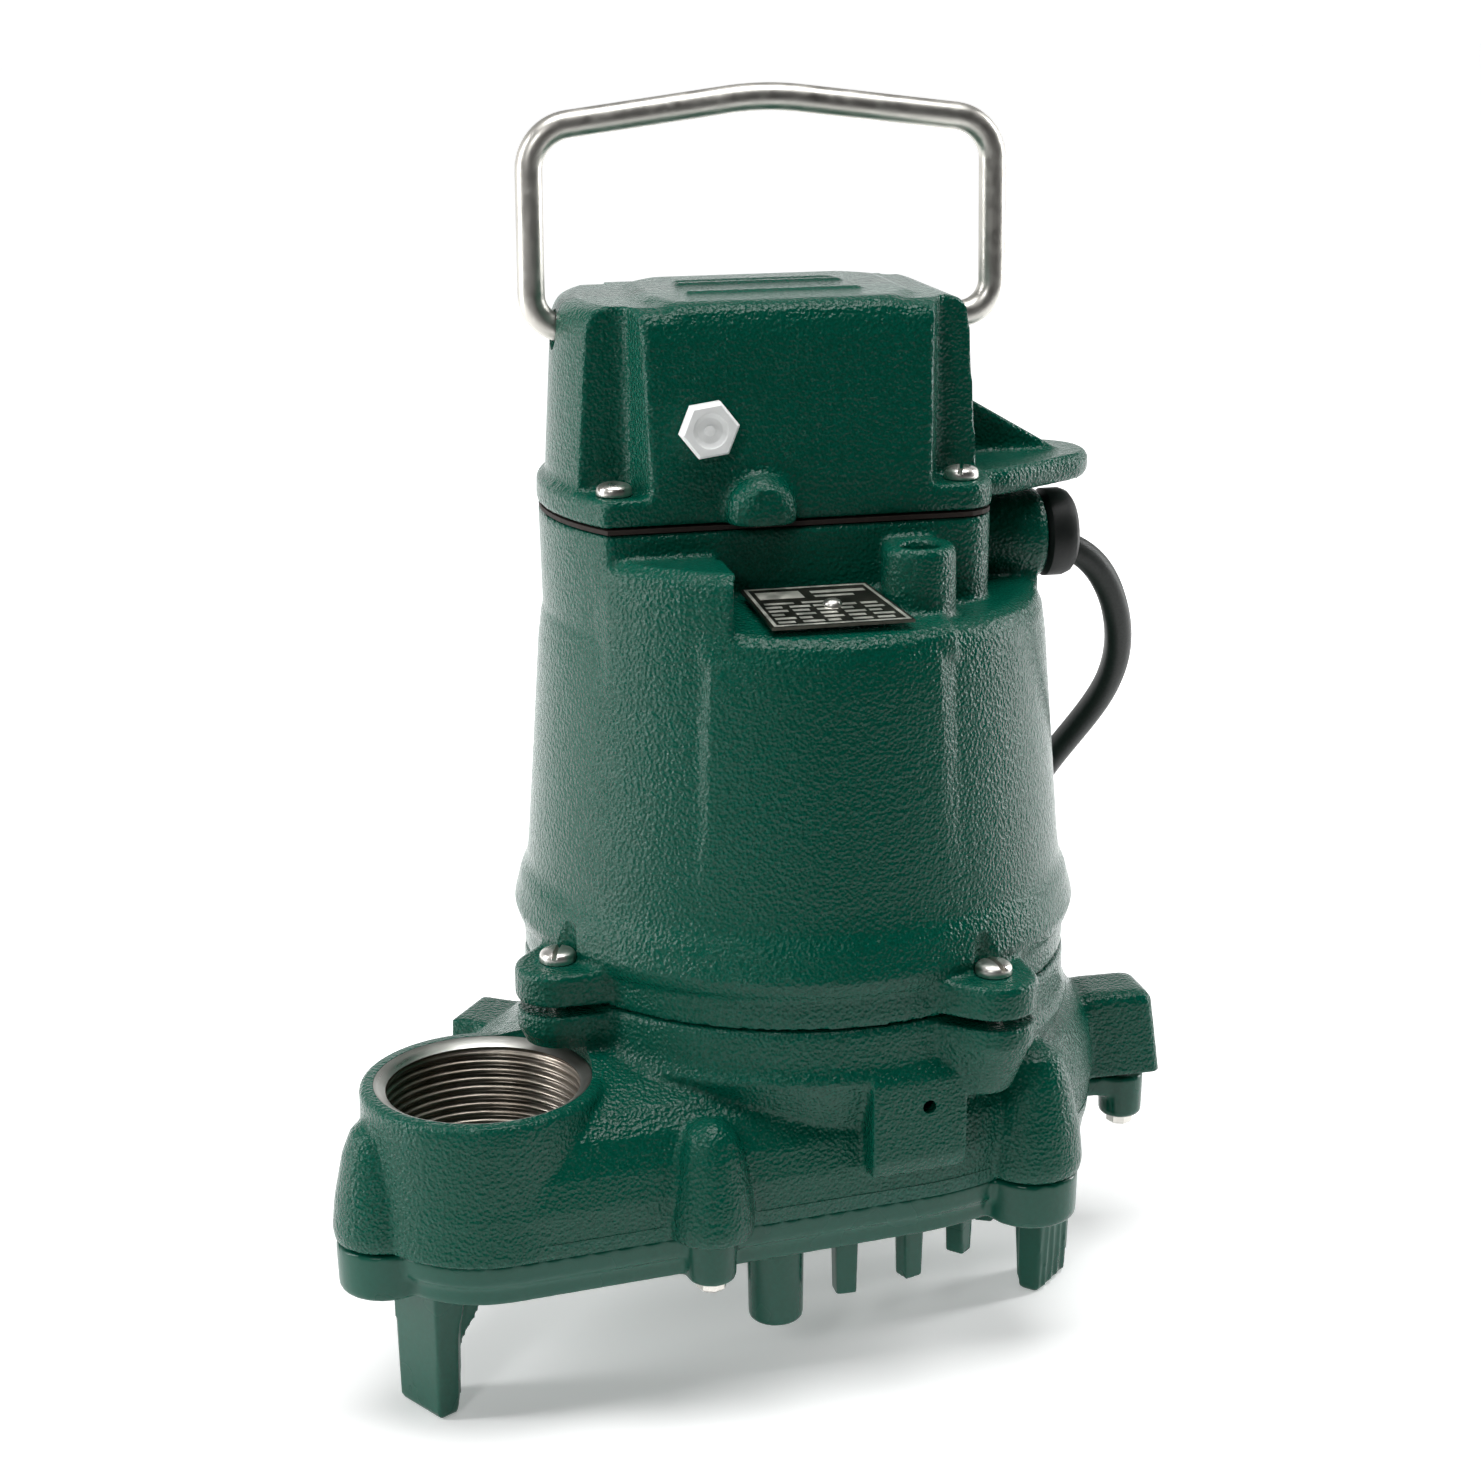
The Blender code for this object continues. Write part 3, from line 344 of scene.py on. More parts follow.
def join(obj, other):
    """A true union, for an edge that stays crisp on a softened casting."""
    mod = obj.modifiers.new("join", "BOOLEAN")
    mod.operation, mod.solver, mod.object = "UNION", "MANIFOLD", other
    baked(obj)
    bpy.data.objects.remove(other, do_unlink=True)
    return obj


def polar(r, degrees):
    return r * math.cos(math.radians(degrees)), r * math.sin(math.radians(degrees))


def turned_box(name, cx, cy, along, w, d, z0, z1, w_top=None, d_top=None):
    """A box with its depth along the direction `along` (degrees), w wide, tapering to the top size."""
    a = math.radians(along)
    u, v = (math.cos(a), math.sin(a)), (-math.sin(a), math.cos(a))
    rows = []
    for ww, dd, z in ((w, d, z0), (w_top or w, d_top or d, z1)):
        rows.append(
            [
                (cx + u[0] * s * dd / 2 + v[0] * t * ww / 2, cy + u[1] * s * dd / 2 + v[1] * t * ww / 2, z)
                for s, t in ((-1, -1), (1, -1), (1, 1), (-1, 1))])
    return from_rings(name, rows)


# ---- Materials -----------------------------------------------------------------------------------
class Graph:
    """A material's node tree, with short calls for adding and linking nodes."""

    def __init__(self, name):
        self.mat = bpy.data.materials.new(name)
        self.mat.use_nodes = True
        self.tree = self.mat.node_tree
        self.shader = self.tree.nodes["Principled BSDF"]
        self.where = self.add("ShaderNodeTexCoord").outputs["Object"]

    def add(self, kind, inputs=None, **settings):
        made = self.tree.nodes.new(kind)
        for key, value in settings.items():
            setattr(made, key, value)
        for key, value in (inputs or {}).items():
            self.put(made.inputs[key], value)
        return made

    def put(self, socket, value):
        if isinstance(value, bpy.types.NodeSocket):
            self.tree.links.new(value, socket)
        else:
            socket.default_value = value

    def noise(self, scale, detail, rough, stretch=None):
        where = self.where
        if stretch:
            where = self.add("ShaderNodeMapping", {"Vector": where, "Scale": stretch}).outputs["Vector"]
        return self.add(
            "ShaderNodeTexNoise",
            {"Vector": where, "Scale": scale, "Detail": detail, "Roughness": rough}).outputs["Fac"]

    def cells(self, scale, smooth):
        return self.add(
            "ShaderNodeTexVoronoi", {"Vector": self.where, "Scale": scale, "Smoothness": smooth},
            feature="SMOOTH_F1").outputs["Distance"]

    def ramp(self, fac, *stops):
        made = self.add("ShaderNodeValToRGB", {"Fac": fac})
        elements = made.color_ramp.elements
        while len(elements) < len(stops):
            elements.new(0.5)
        for element, (position, colour) in zip(elements, stops):
            element.position = position
            element.color = (*colour, 1.0) if hasattr(colour, "__len__") else (colour, colour, colour, 1.0)
        return made.outputs["Color"]

    def mix(self, fac, a, b):
        made = self.add("ShaderNodeMix", data_type="RGBA")
        self.put(made.inputs[0], fac)
        self.put(made.inputs[6], a if not isinstance(a, tuple) else (*a, 1.0))
        self.put(made.inputs[7], b if not isinstance(b, tuple) else (*b, 1.0))
        return made.outputs[2]

    def maths(self, operation, a, b):
        made = self.add("ShaderNodeMath", operation=operation)
        self.put(made.inputs[0], a)
        self.put(made.inputs[1], b)
        return made.outputs[0]

    def bump(self, height, distance, strength, onto=None):
        inputs = {"Height": height, "Distance": distance, "Strength": strength}
        if onto is not None:
            inputs["Normal"] = onto
        return self.add("ShaderNodeBump", inputs).outputs["Normal"]

    def finish(self, **inputs):
        for key, value in inputs.items():
            self.put(
                self.shader.inputs[key.replace("_", " ")],
                value if not isinstance(value, tuple) else (*value, 1.0))
        return self.mat


def enamel():
    """Thick green enamel with a fine orange peel over a rough casting; its convex edges get a painted
    highlight, a paler green.
    """
    g = Graph("green_enamel")
    peel = g.cells(1150.0, 0.5)
    grit = g.noise(1900.0, 2.0, 0.6)
    lumps = g.noise(420.0, 3.0, 0.55)
    patches = g.noise(26.0, 3.0, 0.55)
    tone = g.mix(g.ramp(grit, (0.42, 0.0), (0.70, 1.0)), (0.0, 0.060, 0.036), (0.001, 0.086, 0.058))
    colour = g.mix(g.ramp(patches, (0.38, 0.0), (0.66, 1.0)), tone, g.mix(0.5, tone, (0.0, 0.066, 0.040)))
    # Painted highlight: convex edges, found by pointiness, are painted a paler green.
    edge = g.add("ShaderNodeNewGeometry").outputs["Pointiness"]
    colour = g.mix(g.ramp(edge, (0.505, 0.0), (0.60, 0.30)), colour, (0.012, 0.105, 0.078))
    rough = g.ramp(lumps, (0.3, 0.12), (0.7, 0.20))
    normal = g.bump(lumps, 0.0004, 0.3)
    normal = g.bump(peel, 0.0004, 0.7, normal)
    normal = g.bump(grit, 0.00022, 0.7, normal)
    return g.finish(Base_Color=colour, Roughness=rough, Normal=normal, IOR=1.42, Specular_IOR_Level=0.36)


def moulded(name, colour, lighter, rough, grain=1400.0, depth=0.00006, speck=0.25):
    g = Graph(name)
    fine = g.noise(grain, 2.0, 0.6)
    wide = g.noise(40.0, 3.0, 0.5)
    tone = g.mix(g.maths("MULTIPLY", g.ramp(fine, (0.35, 0.0), (0.7, 1.0)), speck), colour, lighter)
    tone = g.mix(g.maths("MULTIPLY", g.ramp(wide, (0.35, 0.0), (0.7, 1.0)), 0.3), tone, lighter)
    return g.finish(
        Base_Color=tone, Roughness=g.ramp(wide, (0.3, rough - 0.05), (0.7, rough + 0.09)),
        Normal=g.bump(fine, depth, 0.6), IOR=1.5, Specular_IOR_Level=0.38)


def metal(name, colour, dull, rough, stretch=(1, 1, 1), scale=300.0, depth=0.00003):
    g = Graph(name)
    streaks = g.noise(scale, 4.0, 0.6, stretch)
    stains = g.noise(60.0, 3.0, 0.55)
    tone = g.mix(g.ramp(stains, (0.4, 0.0), (0.75, 1.0)), colour, dull)
    return g.finish(
        Base_Color=tone, Metallic=1.0, Roughness=g.ramp(streaks, (0.3, rough - 0.08), (0.75, rough + 0.12)),
        Normal=g.bump(streaks, depth, 0.5))


GREEN = enamel()
PLASTIC = moulded("green_plastic", (0.0, 0.064, 0.039), (0.002, 0.088, 0.060), 0.24, 900.0, 0.00005, 0.4)
NYLON = moulded("white_nylon", (0.93, 0.95, 0.94), (0.96, 0.97, 0.96), 0.36, 700.0)
BLACK = moulded("black_nylon", (0.004, 0.006, 0.0055), (0.011, 0.014, 0.013), 0.5, 900.0)
RUBBER = moulded("cord_rubber", (0.008, 0.011, 0.0095), (0.022, 0.028, 0.025), 0.42, 1500.0, 0.00005, 0.6)
GASKET = moulded("gasket_paper", (0.012, 0.007, 0.005), (0.03, 0.018, 0.012), 0.7, 900.0, 0.0001)
STEEL = metal("stainless_rod", (0.66, 0.645, 0.60), (0.55, 0.53, 0.49), 0.38, (1, 1, 1), 260.0, 0.000004)
SCREW = metal("bright_screw", (0.82, 0.80, 0.76), (0.62, 0.59, 0.54), 0.32, depth=0.000006)
THREAD = metal("machined_iron", (0.40, 0.36, 0.31), (0.17, 0.13, 0.10), 0.36, (1, 1, 12), 60.0, 0.00006)
RIM = metal("chamfer_iron", (0.52, 0.52, 0.49), (0.36, 0.35, 0.32), 0.34, (1, 1, 20), 60.0)
COPPER = metal("winding_copper", (0.65, 0.27, 0.11), (0.40, 0.15, 0.06), 0.35, (1, 1, 14), 120.0, 0.0002)
LAMINATE = metal("lamination_steel", (0.30, 0.30, 0.32), (0.20, 0.19, 0.19), 0.42, (1, 1, 60), 30.0, 0.00008)
BRASS = metal("plug_brass", (0.78, 0.58, 0.27), (0.62, 0.44, 0.18), 0.25)
BRONZE = metal("bearing_bronze", (0.55, 0.36, 0.17), (0.40, 0.25, 0.11), 0.35)
PLATE = metal("plate_black", (0.05, 0.052, 0.042), (0.085, 0.085, 0.07), 0.38)
INK = metal("plate_silver", (0.93, 0.92, 0.84), (0.80, 0.79, 0.70), 0.42)
BROWN = moulded("glass_filled_plastic", (0.10, 0.045, 0.018), (0.16, 0.08, 0.035), 0.5)
CERAMIC = moulded("seal_ceramic", (0.84, 0.83, 0.79), (0.90, 0.89, 0.86), 0.25)
CARBON = moulded("seal_carbon", (0.02, 0.02, 0.021), (0.04, 0.04, 0.04), 0.35)


def wear(obj, material, smooth):
    obj.data.materials.clear()
    obj.data.materials.append(material)
    if obj.type == "MESH" and smooth:
        obj.data.shade_smooth()
        obj.data.set_sharp_from_angle(angle=math.radians(smooth))
    return obj


def piece(obj, name, material, *nodes, body="pump", slot=None, smooth=40.0):
    """Names a new piece, gives it its material, and lets it ride in the place of its CAD nodes."""
    obj.name = obj.data.name = name
    wear(obj, material, smooth)
    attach(obj, body)
    if nodes:
        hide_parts(*nodes)
    return obj


# ---- Cord: 4.5 m, out of the gland, down behind the housing and into a coil ----------------------
PITCH = 7.15
TURN_POINTS, PER_LAYER, LAYERS, TURNS = 24, 4, 4, 15.7
RADII = [COIL_R + (1.5 - k) * PITCH for k in range(PER_LAYER)]


def ease(s):
    s = min(1.0, max(0.0, s))
    return s * s * (3 - 2 * s)


def coil_point(turn):
    """A point of the coil. Each turn keeps its own radius and steps to the next one over its last part, and
    a layer's last turn climbs instead, bulging a little to the outside of the coil or into its eye."""
    number = min(int(turn), PER_LAYER * LAYERS - 1)
    layer, place = divmod(number, PER_LAYER)
    order = RADII if layer % 2 == 0 else RADII[::-1]
    move = ease((turn - number - 0.82) / 0.18)
    r, z = order[place], CORD_R + 0.25 + PITCH * layer
    if place < PER_LAYER - 1:
        r += (order[place + 1] - r) * move
    else:
        z += PITCH * move
        r += (-1.6 if layer % 2 == 0 else 1.6) * math.sin(math.pi * move)
    a = 2 * math.pi * turn
    return COIL_C[0] + r * math.cos(a), COIL_C[1] + r * math.sin(a), z


cord_line = [tuple(p) for p in spline_points(CORD_ROUTE[1:], 12.0)]
steps = int(TURNS * TURN_POINTS)
cord_line += [coil_point(TURNS * i / steps) for i in range(1, steps + 1)]
plug_at = (COIL_C[0], COIL_C[1] + COIL_R - 1.0, COIL_H + 0.3 + 10.6)
last = Vector(cord_line[-1])
heading = (last - Vector(cord_line[-2])).normalized()
landing = Vector((plug_at[0] + 29.0, plug_at[1] + 0.3, plug_at[2]))
for k in range(1, 8):
    s = k / 8.0
    a, b = last + heading * 42.0, landing + Vector((34.0, 0.0, 0.0))
    p = last * (1 - s) ** 3 + a * (3 * s * (1 - s) ** 2) + b * (3 * s * s * (1 - s)) + landing * s ** 3
    cord_line.append(tuple(p))
cord_line.append(tuple(landing))
cord_data = bpy.data.curves.new("power_cord", "CURVE")
cord_data.dimensions, cord_data.bevel_depth = "3D", CORD_R * MM
cord_data.bevel_resolution, cord_data.use_fill_caps = 5, True
cord_data.resolution_u = 6
spline = cord_data.splines.new("NURBS")
spline.points.add(len(cord_line) - 1)
for point, p in zip(spline.points, cord_line):
    point.co = (*at(*p), 1.0)
spline.order_u, spline.use_endpoint_u = 4, True
cord = bpy.data.objects.new("power_cord", cord_data)
bpy.context.scene.collection.objects.link(cord)
cord_data.materials.append(RUBBER)
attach(cord, "pump")
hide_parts("cord_free", "cord_coil")

# ---- Switch case ---------------------------------------------------------------------------------
case = stack("case", [
    (case_plan(2.2, 0.0, corner=8), CASE_BOTTOM + 0.6), (case_plan(2.4, 0.2, corner=8), 216),
    (case_plan(4.4, 3.0, corner=8), 247), (case_plan(5.0, 3.8, corner=8), 251.0),
    (case_plan(6.4, 5.4, corner=8), 253.3), (case_plan(9.5, 8.6, corner=7), 254.4)])
cut(
    case,
    prism(
        "recess_l",
        rounded([(-90, -60, 1), (-43.5, -60, 1), (-39.0, -37, 3), (-43.6, -21.5, 3.0), (-90, -21.5, 1)], 3),
        CASE_LEDGE - 8, 270),
    prism(
        "recess_r",
        rounded([(24.5, -37, 3), (30.5, -60, 1), (90, -60, 1), (90, -21.5, 1), (30.0, -21.5, 3.0)], 3),
        CASE_LEDGE - 8, 270))
flange = stack(
    "flange",
    [
        (case_plan(0.4), CASE_BOTTOM), (case_plan(0.0), CASE_BOTTOM + 0.7),
        (case_plan(0.2), CASE_LEDGE - 0.8), (case_plan(1.0, 0.6), CASE_LEDGE)])
panel = stack(
    "panel",
    [
        (
            rounded(
                [
                    (-36.5, -31.0, 3), (22.0, -31.0, 3), (30, -18, 5), (30, 22, 5), (20.0, 29.0, 5),
                    (-31.0, 29.0, 5), (-40, 20, 5), (-41, -16, 5)]),
            246),
        (
            rounded(
                [
                    (-34.5, -29.4, 3), (20.0, -29.4, 3), (28, -17, 5), (28, 20, 5), (19.0, 27.4, 5),
                    (-30.0, 27.4, 5), (-38, 19, 5), (-39, -15, 5)]),
            253.2),
        (
            rounded(
                [
                    (-33.5, -27.6, 3), (19.0, -27.6, 3), (26, -16, 5), (26, 19, 5), (18.5, 26, 5),
                    (-29.5, 26, 5), (-36.5, 18, 5), (-37.5, -14, 5)]),
            254.9),
        (
            rounded(
                [
                    (-32.4, -25.4, 3), (18.0, -25.4, 3), (24.5, -15, 5), (24.5, 18, 5), (18, 24.5, 5),
                    (-28.5, 24.5, 5), (-35, 17, 5), (-36, -13, 5)]),
            CASE_TOP)])
weld(case, flange, panel)
# Bracket on the right side: a rounded shelf and its gusset.
shelf = stack(
    "shelf",
    [
        (two_circles((38, 2), 24.0, (61.5, 4.0), 13.2, 20, 14), 206.4),
        (two_circles((38, 2), 25.0, (61.5, 4.0), 14.2, 20, 14), 208.2),
        (two_circles((38, 2), 25.0, (61.5, 4.0), 14.2, 20, 14), 211.2),
        (two_circles((38, 2), 24.0, (61.5, 4.0), 13.2, 20, 14), 212.8)])
gusset = from_rings(
    "gusset",
    [[(34, y, 210), (69.0, y, 210), (67.5, y, 213.0), (43.0, y, 227.4), (34, y, 228.4)] for y in (1.5, 7.5)]
)
knob = turned_y(
    "knob", [(8.4, -30), (8.2, -36.5), (7.2, -38.8), (4.9, -40.4), (1.5, -41.0)], -15.0, 208.6, 24)
cut(knob, box("below", -40, 10, -50, -20, 180, CASE_BOTTOM + 0.05))
web = box("web", -17.5, -12.5, -40.6, -30, CASE_BOTTOM + 0.3, 214.6)
weld(case, shelf, gusset, knob, web)
# Plain raised bars on the top panel, where a foundry mark would stand.
marks = [
    box(f"bar{i}", -27 + 0.8 * i, 14 - 0.8 * i, y, y + 2.0, 254.8, 256.1)
    for i, y in enumerate((-12.0, 5.0, 10.0))]
weld(case, *marks)
case = soften(case, IRON_VOXEL, 3)
plan_in = [(x * 0.885, y * 0.83 + 0.2) for x, y in case_plan(0.0)]
cut(
    case,
    stack(
        "chamber",
        [
            (
                [(x, min(max(y, -19.0) if (x < -34 or x > 19) else y, 19.5)) for x, y in plan_in],
                CASE_BOTTOM - 2),
            (
                [
                    (x * 0.9, min(max(y * 0.88, -17.0) if (x < -34 or x > 19) else y * 0.88, 17.5))
                    for x, y in plan_in],
                249.0)]),
    turned_y("plug_hole", [(4.4, -45), (4.4, -20)], *OIL_PLUG, 16),
    turned_x("pivot_l", [(5.0, -75), (5.0, -57.5), (3.7, -52.5), (3.7, -44)], HANDLE_Y, PIVOT_Z, 16),
    turned_x("pivot_r", [(3.7, 30), (3.7, 36.6), (5.0, 39.6), (5.0, 60)], HANDLE_Y, PIVOT_Z, 16))
for i, (x, y) in enumerate(SCREWS_CASE):
    if y > 0:
        cut(
            case,
            prism(
                f"rear_recess{i}",
                rounded(
                    [
                        (x - 30 if x < 0 else x - 6.0, y - 6.5, 2),
                        (x + 6.0 if x < 0 else x + 30, y - 6.5, 2),
                        (x + 6.0 if x < 0 else x + 30, y + 30, 2), (x - 30 if x < 0 else x - 6.0, y + 30, 2)
                    ],
                    3),
                CASE_LEDGE, 270))
    cut(case, turned(f"hole{i}", [(2.4, 198), (2.4, 216)], (x, y), 12))
piece(case, "switch_case_casting", GREEN, "switch_case", slot="enamel", smooth=50.0)


# ---- Motor housing -------------------------------------------------------------------------------
def body_radius(z):
    t = (z - 120.0) / (SHOULDER_Z - 120.0)
    return BODY_R_LOW + (BODY_R_HIGH - BODY_R_LOW) * t


def body_ring(z, r, pilaster):
    """A ring of the body; the pilaster stands proud over the front by up to that amount."""
    out = []
    count = 54 * FINE
    for i in range(count):
        t = 360.0 * i / count
        d = (t + 95.0 + 180.0) % 360.0 - 180.0
        edge = min(1.0, max(0.0, (27.0 - abs(d)) / 1.6))
        out.append(polar(r + pilaster * edge, t) + (z,))
    return out


levels = [
    (SEAM_Z + 0.4, FLANGE_R - 0.4, 0), (101.0, FLANGE_R, 0), (102.4, FLANGE_R + 1.2, 0), (105.5, 69.8, 0),
    (112.5, 68.0, 0), (116.0, 66.4, 0), (121.0, BODY_R_LOW, 0.0), (142.0, body_radius(142), 0.8),
    (172.0, body_radius(172), 1.9), (179.0, body_radius(179) - 0.4, 2.0),
    (182.2, body_radius(182) - 1.6, 1.7), (183.8, body_radius(183) - 4.6, 0.8)]
body = from_rings("body", [body_ring(z, r, p) for z, r, p in levels])
neck = stack("neck", [(case_plan(0.8), 176), (case_plan(0.4), NECK_TOP)])
step = from_rings(
    "step",
    [
        [
            polar(r, a) + (z,)
            for a in (-146, -141, -136, -131, -126, -121, -117.5, -115)
        ] + [(-24.5, -44.0, z), (-26.0, -30.0, z), (-40.0, -28.0, z), (-53.0, -30.0, z)]
        for r, z in ((62.4, 168), (61.6, 190), (60.9, 196.2), (58.6, 198.4))])


def platform_ring(r, z, slope):
    """A ring of the nameplate platform, lying in a plane that falls towards the front."""
    outline = [polar(r, a) for a in range(-122, -64, 4)] + [(24.0, -30.0), (-27.0, -30.0)]
    return [(x, y, z + (y + 30.0) * slope) for x, y in outline]


plat = from_rings(
    "plat",
    [
        platform_ring(60.0, 171.7, 0.0), platform_ring(62.6, 178.3, 0.0), platform_ring(62.2, 187.8, 0.19),
        platform_ring(60.0, 189.5, 0.19)])
post = turned("post", [(9.0, 171.3), (8.7, 199.0), (7.8, 200.6)], (20.33, -41.17), 28)
cut(post, turned("post_in", [(4.6, 196), (4.6, 205)], (20.33, -42.6), 16))
cord_boss = turned_x("cord_boss", [(11.5, 30), (11.4, 60.6), (10.4, 62.4)], GLAND_Y, GLAND_Z, 32)
boss_skirt = box("boss_skirt", 36, 60.0, -9.5, 9.5, 176, 192)
weld(body, neck, step, plat, post, cord_boss, boss_skirt)
ears = []
for i in range(4):
    ax = EAR_START + 90 * i
    cx, cy = polar(EAR_R, ax)
    ears.append(
        stack(
            f"ear{i}",
            [
                (two_circles(polar(58, ax), 15.5, (cx, cy), EAR_SIZE - 0.4, 9, 8), 94.6),
                (two_circles(polar(58, ax), 16.0, (cx, cy), EAR_SIZE, 9, 8), 95.2),
                (two_circles(polar(58, ax), 16.0, (cx, cy), EAR_SIZE, 9, 8), 101.8),
                (two_circles(polar(58, ax), 15.5, (cx, cy), EAR_SIZE - 0.8, 9, 8), 102.8)]))
weld(body, *ears)
body = soften(body, IRON_VOXEL, 3)
# The bore takes the stator; the web above it holds the upper bearing; the neck opens to the wiring chamber.
cut(
    body, turned("bore", [(57.5, 88), (57.5, 112), (52.4, 114), (52.4, 165), (46.0, 176)], n=40),
    stack(
        "neck_in",
        [
            ([(x * 0.80, y * 0.74) for x, y in case_plan(0.0)], 187.5),
            ([(x * 0.84, y * 0.76) for x, y in case_plan(0.0)], 212)]),
    turned("wire_way", [(5.0, 170), (5.0, 192)], (26, 12), 16),
    turned_x("cord_way", [(4.4, 30), (4.4, 52), (6.2, 64), (6.2, 70)], GLAND_Y, GLAND_Z, 16))
for i, (x, y) in enumerate(SCREWS_CASE):
    cut(body, turned(f"hole{i}", [(2.0, 190), (2.0, 206)], (x, y), 12))
for i in range(4):
    cut(
        body, turned(f"hole{i}", [(2.6, 94), (2.6, 105)], polar(EAR_R, EAR_START + 90 * i), 12),
        turned(
            f"spot{i}", [(5.1, 102.8), (5.1, 111), (3.0, 116)], polar(EAR_R + 0.6, EAR_START + 90 * i), 14))
piece(body, "motor_housing_casting", GREEN, "motor_housing", slot="enamel", smooth=50.0)

# ---- Volute --------------------------------------------------------------------------------------
volute = stack(
    "volute",
    [
        (scroll(-0.6), 46.0), (scroll(0.5), 57.0), (scroll(-0.5), 64.5), (scroll(-3.6), 71.6),
        (scroll(-8.5), 76.2), (scroll(-16.0), 79.4), (scroll(-26.0), 82.4)])
hub = turned(
    "hub", [(HUB_R + 0.9, 46.2), (HUB_R + 0.2, 60), (HUB_R, HUB_TOP - 1.0), (HUB_R - 0.9, HUB_TOP)], HUB_C,
    32)
collar = turned(
    "collar", [(60, 62), (69.2, 80.6), (68.0, 82.6), (67.7, 84.5), (67.7, 91.6), (67.3, SEAM_Z - 0.2)], n=44
)
weld(volute, hub, collar)
for i in range(4):
    ax = EAR_START + 90 * i
    cx, cy = polar(EAR_R, ax)
    weld(
        volute,
        stack(
            f"v_ear{i}",
            [
                (two_circles(polar(56, ax), 14, polar(EAR_R - 4, ax), 7.4, 9, 8), 74),
                (two_circles(polar(58, ax), 15, (cx, cy), EAR_SIZE - 1.6, 9, 8), 85.4),
                (two_circles(polar(58, ax), 15.4, (cx, cy), EAR_SIZE - 0.4, 9, 8), 87.4),
                (two_circles(polar(58, ax), 15.4, (cx, cy), EAR_SIZE - 0.4, 9, 8), 92.2)]))


def bullet(name, c, r, top):
    """A screw boss with a pointed, rounded top."""
    foot = 46.2
    return turned(
        name,
        [
            (r, foot), (r + 0.5, foot + 3), (r - 0.3, foot + 0.35 * (top - foot)),
            (r * 0.78, foot + 0.72 * (top - foot)), (r * 0.6, top - 3.0), (r * 0.36, top - 0.8),
            (r * 0.12, top)],
        c, 14)


weld(
    volute, bullet("boss_a", BOSSES[0], 11.6, 75.5),
    bullet("boss_b", (BOSSES[1][0], BOSSES[1][1] - 1.4), 9.6, 74.5),
    bullet("boss_c", BOSSES[2], 12.2, 78.5),
    stack(
        "boss_d",
        [
            (
                rounded(
                    [
                        (84.6 - hx, 0.5 - hy, 2.5), (84.6 + hx, 0.5 - hy, 2.5), (84.6 + hx, 0.5 + hy, 2.5),
                        (84.6 - hx, 0.5 + hy, 2.5)],
                    3),
                z)
            for hx, hy, z in ((12.0, 10.0, 48.4), (9.6, 9.0, 68.6), (8.6, 8.0, 70.2), (6.5, 6.0, 70.8))]),
    turned_box("boss_e", -74.0, 10.0, 146, 19, 22, 46.2, 74.0, 17.5, 18),
    bullet("boss_f", BOSSES[5], 9.0, 74.0),
    from_rings(
        "pad",
        [
            [(2.0, -60, z), (2.0 + 0.6, y, z), (26.0, y + 3.4, z), (30, -40, z)]
            for z, y in ((56.0, -69.2), (60, -70.6), (79.5, -70.2), (82.0, -68.6))]))
volute = soften(volute, IRON_VOXEL, 4)
hub_rim = turned(
    "hub_rim",
    [
        (HUB_R - 2.0, 62), (HUB_R + 0.1, 66), (HUB_R, HUB_TOP - 1.3), (HUB_R - 0.35, HUB_TOP - 0.5),
        (HUB_R - 1.1, HUB_TOP)],
    HUB_C, 48)
join(volute, hub_rim)
join(volute, stack("lip", [(scroll(-0.5), 45.8), (scroll(-0.1), 49.5)]))
cut(
    volute, stack("scroll_in", [(scroll(-7.5), 40), (scroll(-7.5), 62), (scroll(-12.5), 69.5)]),
    turned("chamber", [(56, 40), (56, 78.5)], n=40), turned("plate_seat", [(61.5, 86.0), (61.5, 97)], n=40),
    turned("throat", [(30, 70), (30, 90)], n=28),
    turned(
        "outlet", [(THREAD_R + 0.4, BORE_FLOOR), (THREAD_R + 0.4, 56), (25.4, 56.5), (25.4, 84)], HUB_C, 36
    ),
    from_rings(
        "weep",
        [
            [
                (16.6 + 1.7 * math.cos(math.radians(a)), y, 72.6 + 1.7 * math.sin(math.radians(a)))
                for a in range(0, 360, 30)]
            for y in (-80, -62)]))
for i in range(4):
    cut(volute, turned(f"hole{i}", [(2.1, 80), (2.1, 96)], polar(EAR_R, EAR_START + 90 * i), 12))
for i, c in enumerate(BOSSES):
    cut(volute, turned(f"hole{i}", [(1.9, 40), (1.9, 60)], c, 10))
piece(volute, "volute_casting", GREEN, "volute_case", slot="enamel", smooth=50.0)

# ---- Plastic base --------------------------------------------------------------------------------
base = stack(
    "base",
    [
        (scroll(-4.2), SKIRT_Z), (scroll(-3.6), SKIRT_Z + 0.6), (scroll(-3.0), SKIRT_BAND_Z - 0.4),
        (scroll(-1.6), SKIRT_BAND_Z + 0.4), (scroll(-1.0), BASE_TOP)])
cups = []
for i, (x, y) in enumerate(BOSSES):
    r = (11.2, 5.9, 11.4, 5.6, 5.6, 6.2)[i]
    cups.append(turned(f"cup{i}", [(r - 0.8, BOSS_Z), (r, BOSS_Z + 0.6), (r + 0.3, BASE_TOP)], (x, y), 16))
    if i in (1, 3, 4, 5):
        inward = math.degrees(math.atan2(SCROLL_C[1] - y, SCROLL_C[0] - x))
        mx, my = x + 9 * math.cos(math.radians(inward)), y + 9 * math.sin(math.radians(inward))
        cups.append(turned_box(f"cupweb{i}", mx, my, inward, 2 * r - 1.5, 20, 40.5, BASE_TOP))
weld(base, *cups)
base = soften(base, PLASTIC_VOXEL, 0)
cut(base, stack("under", [(scroll(-7.0), 20), (scroll(-6.6), PLATE_Z)]))
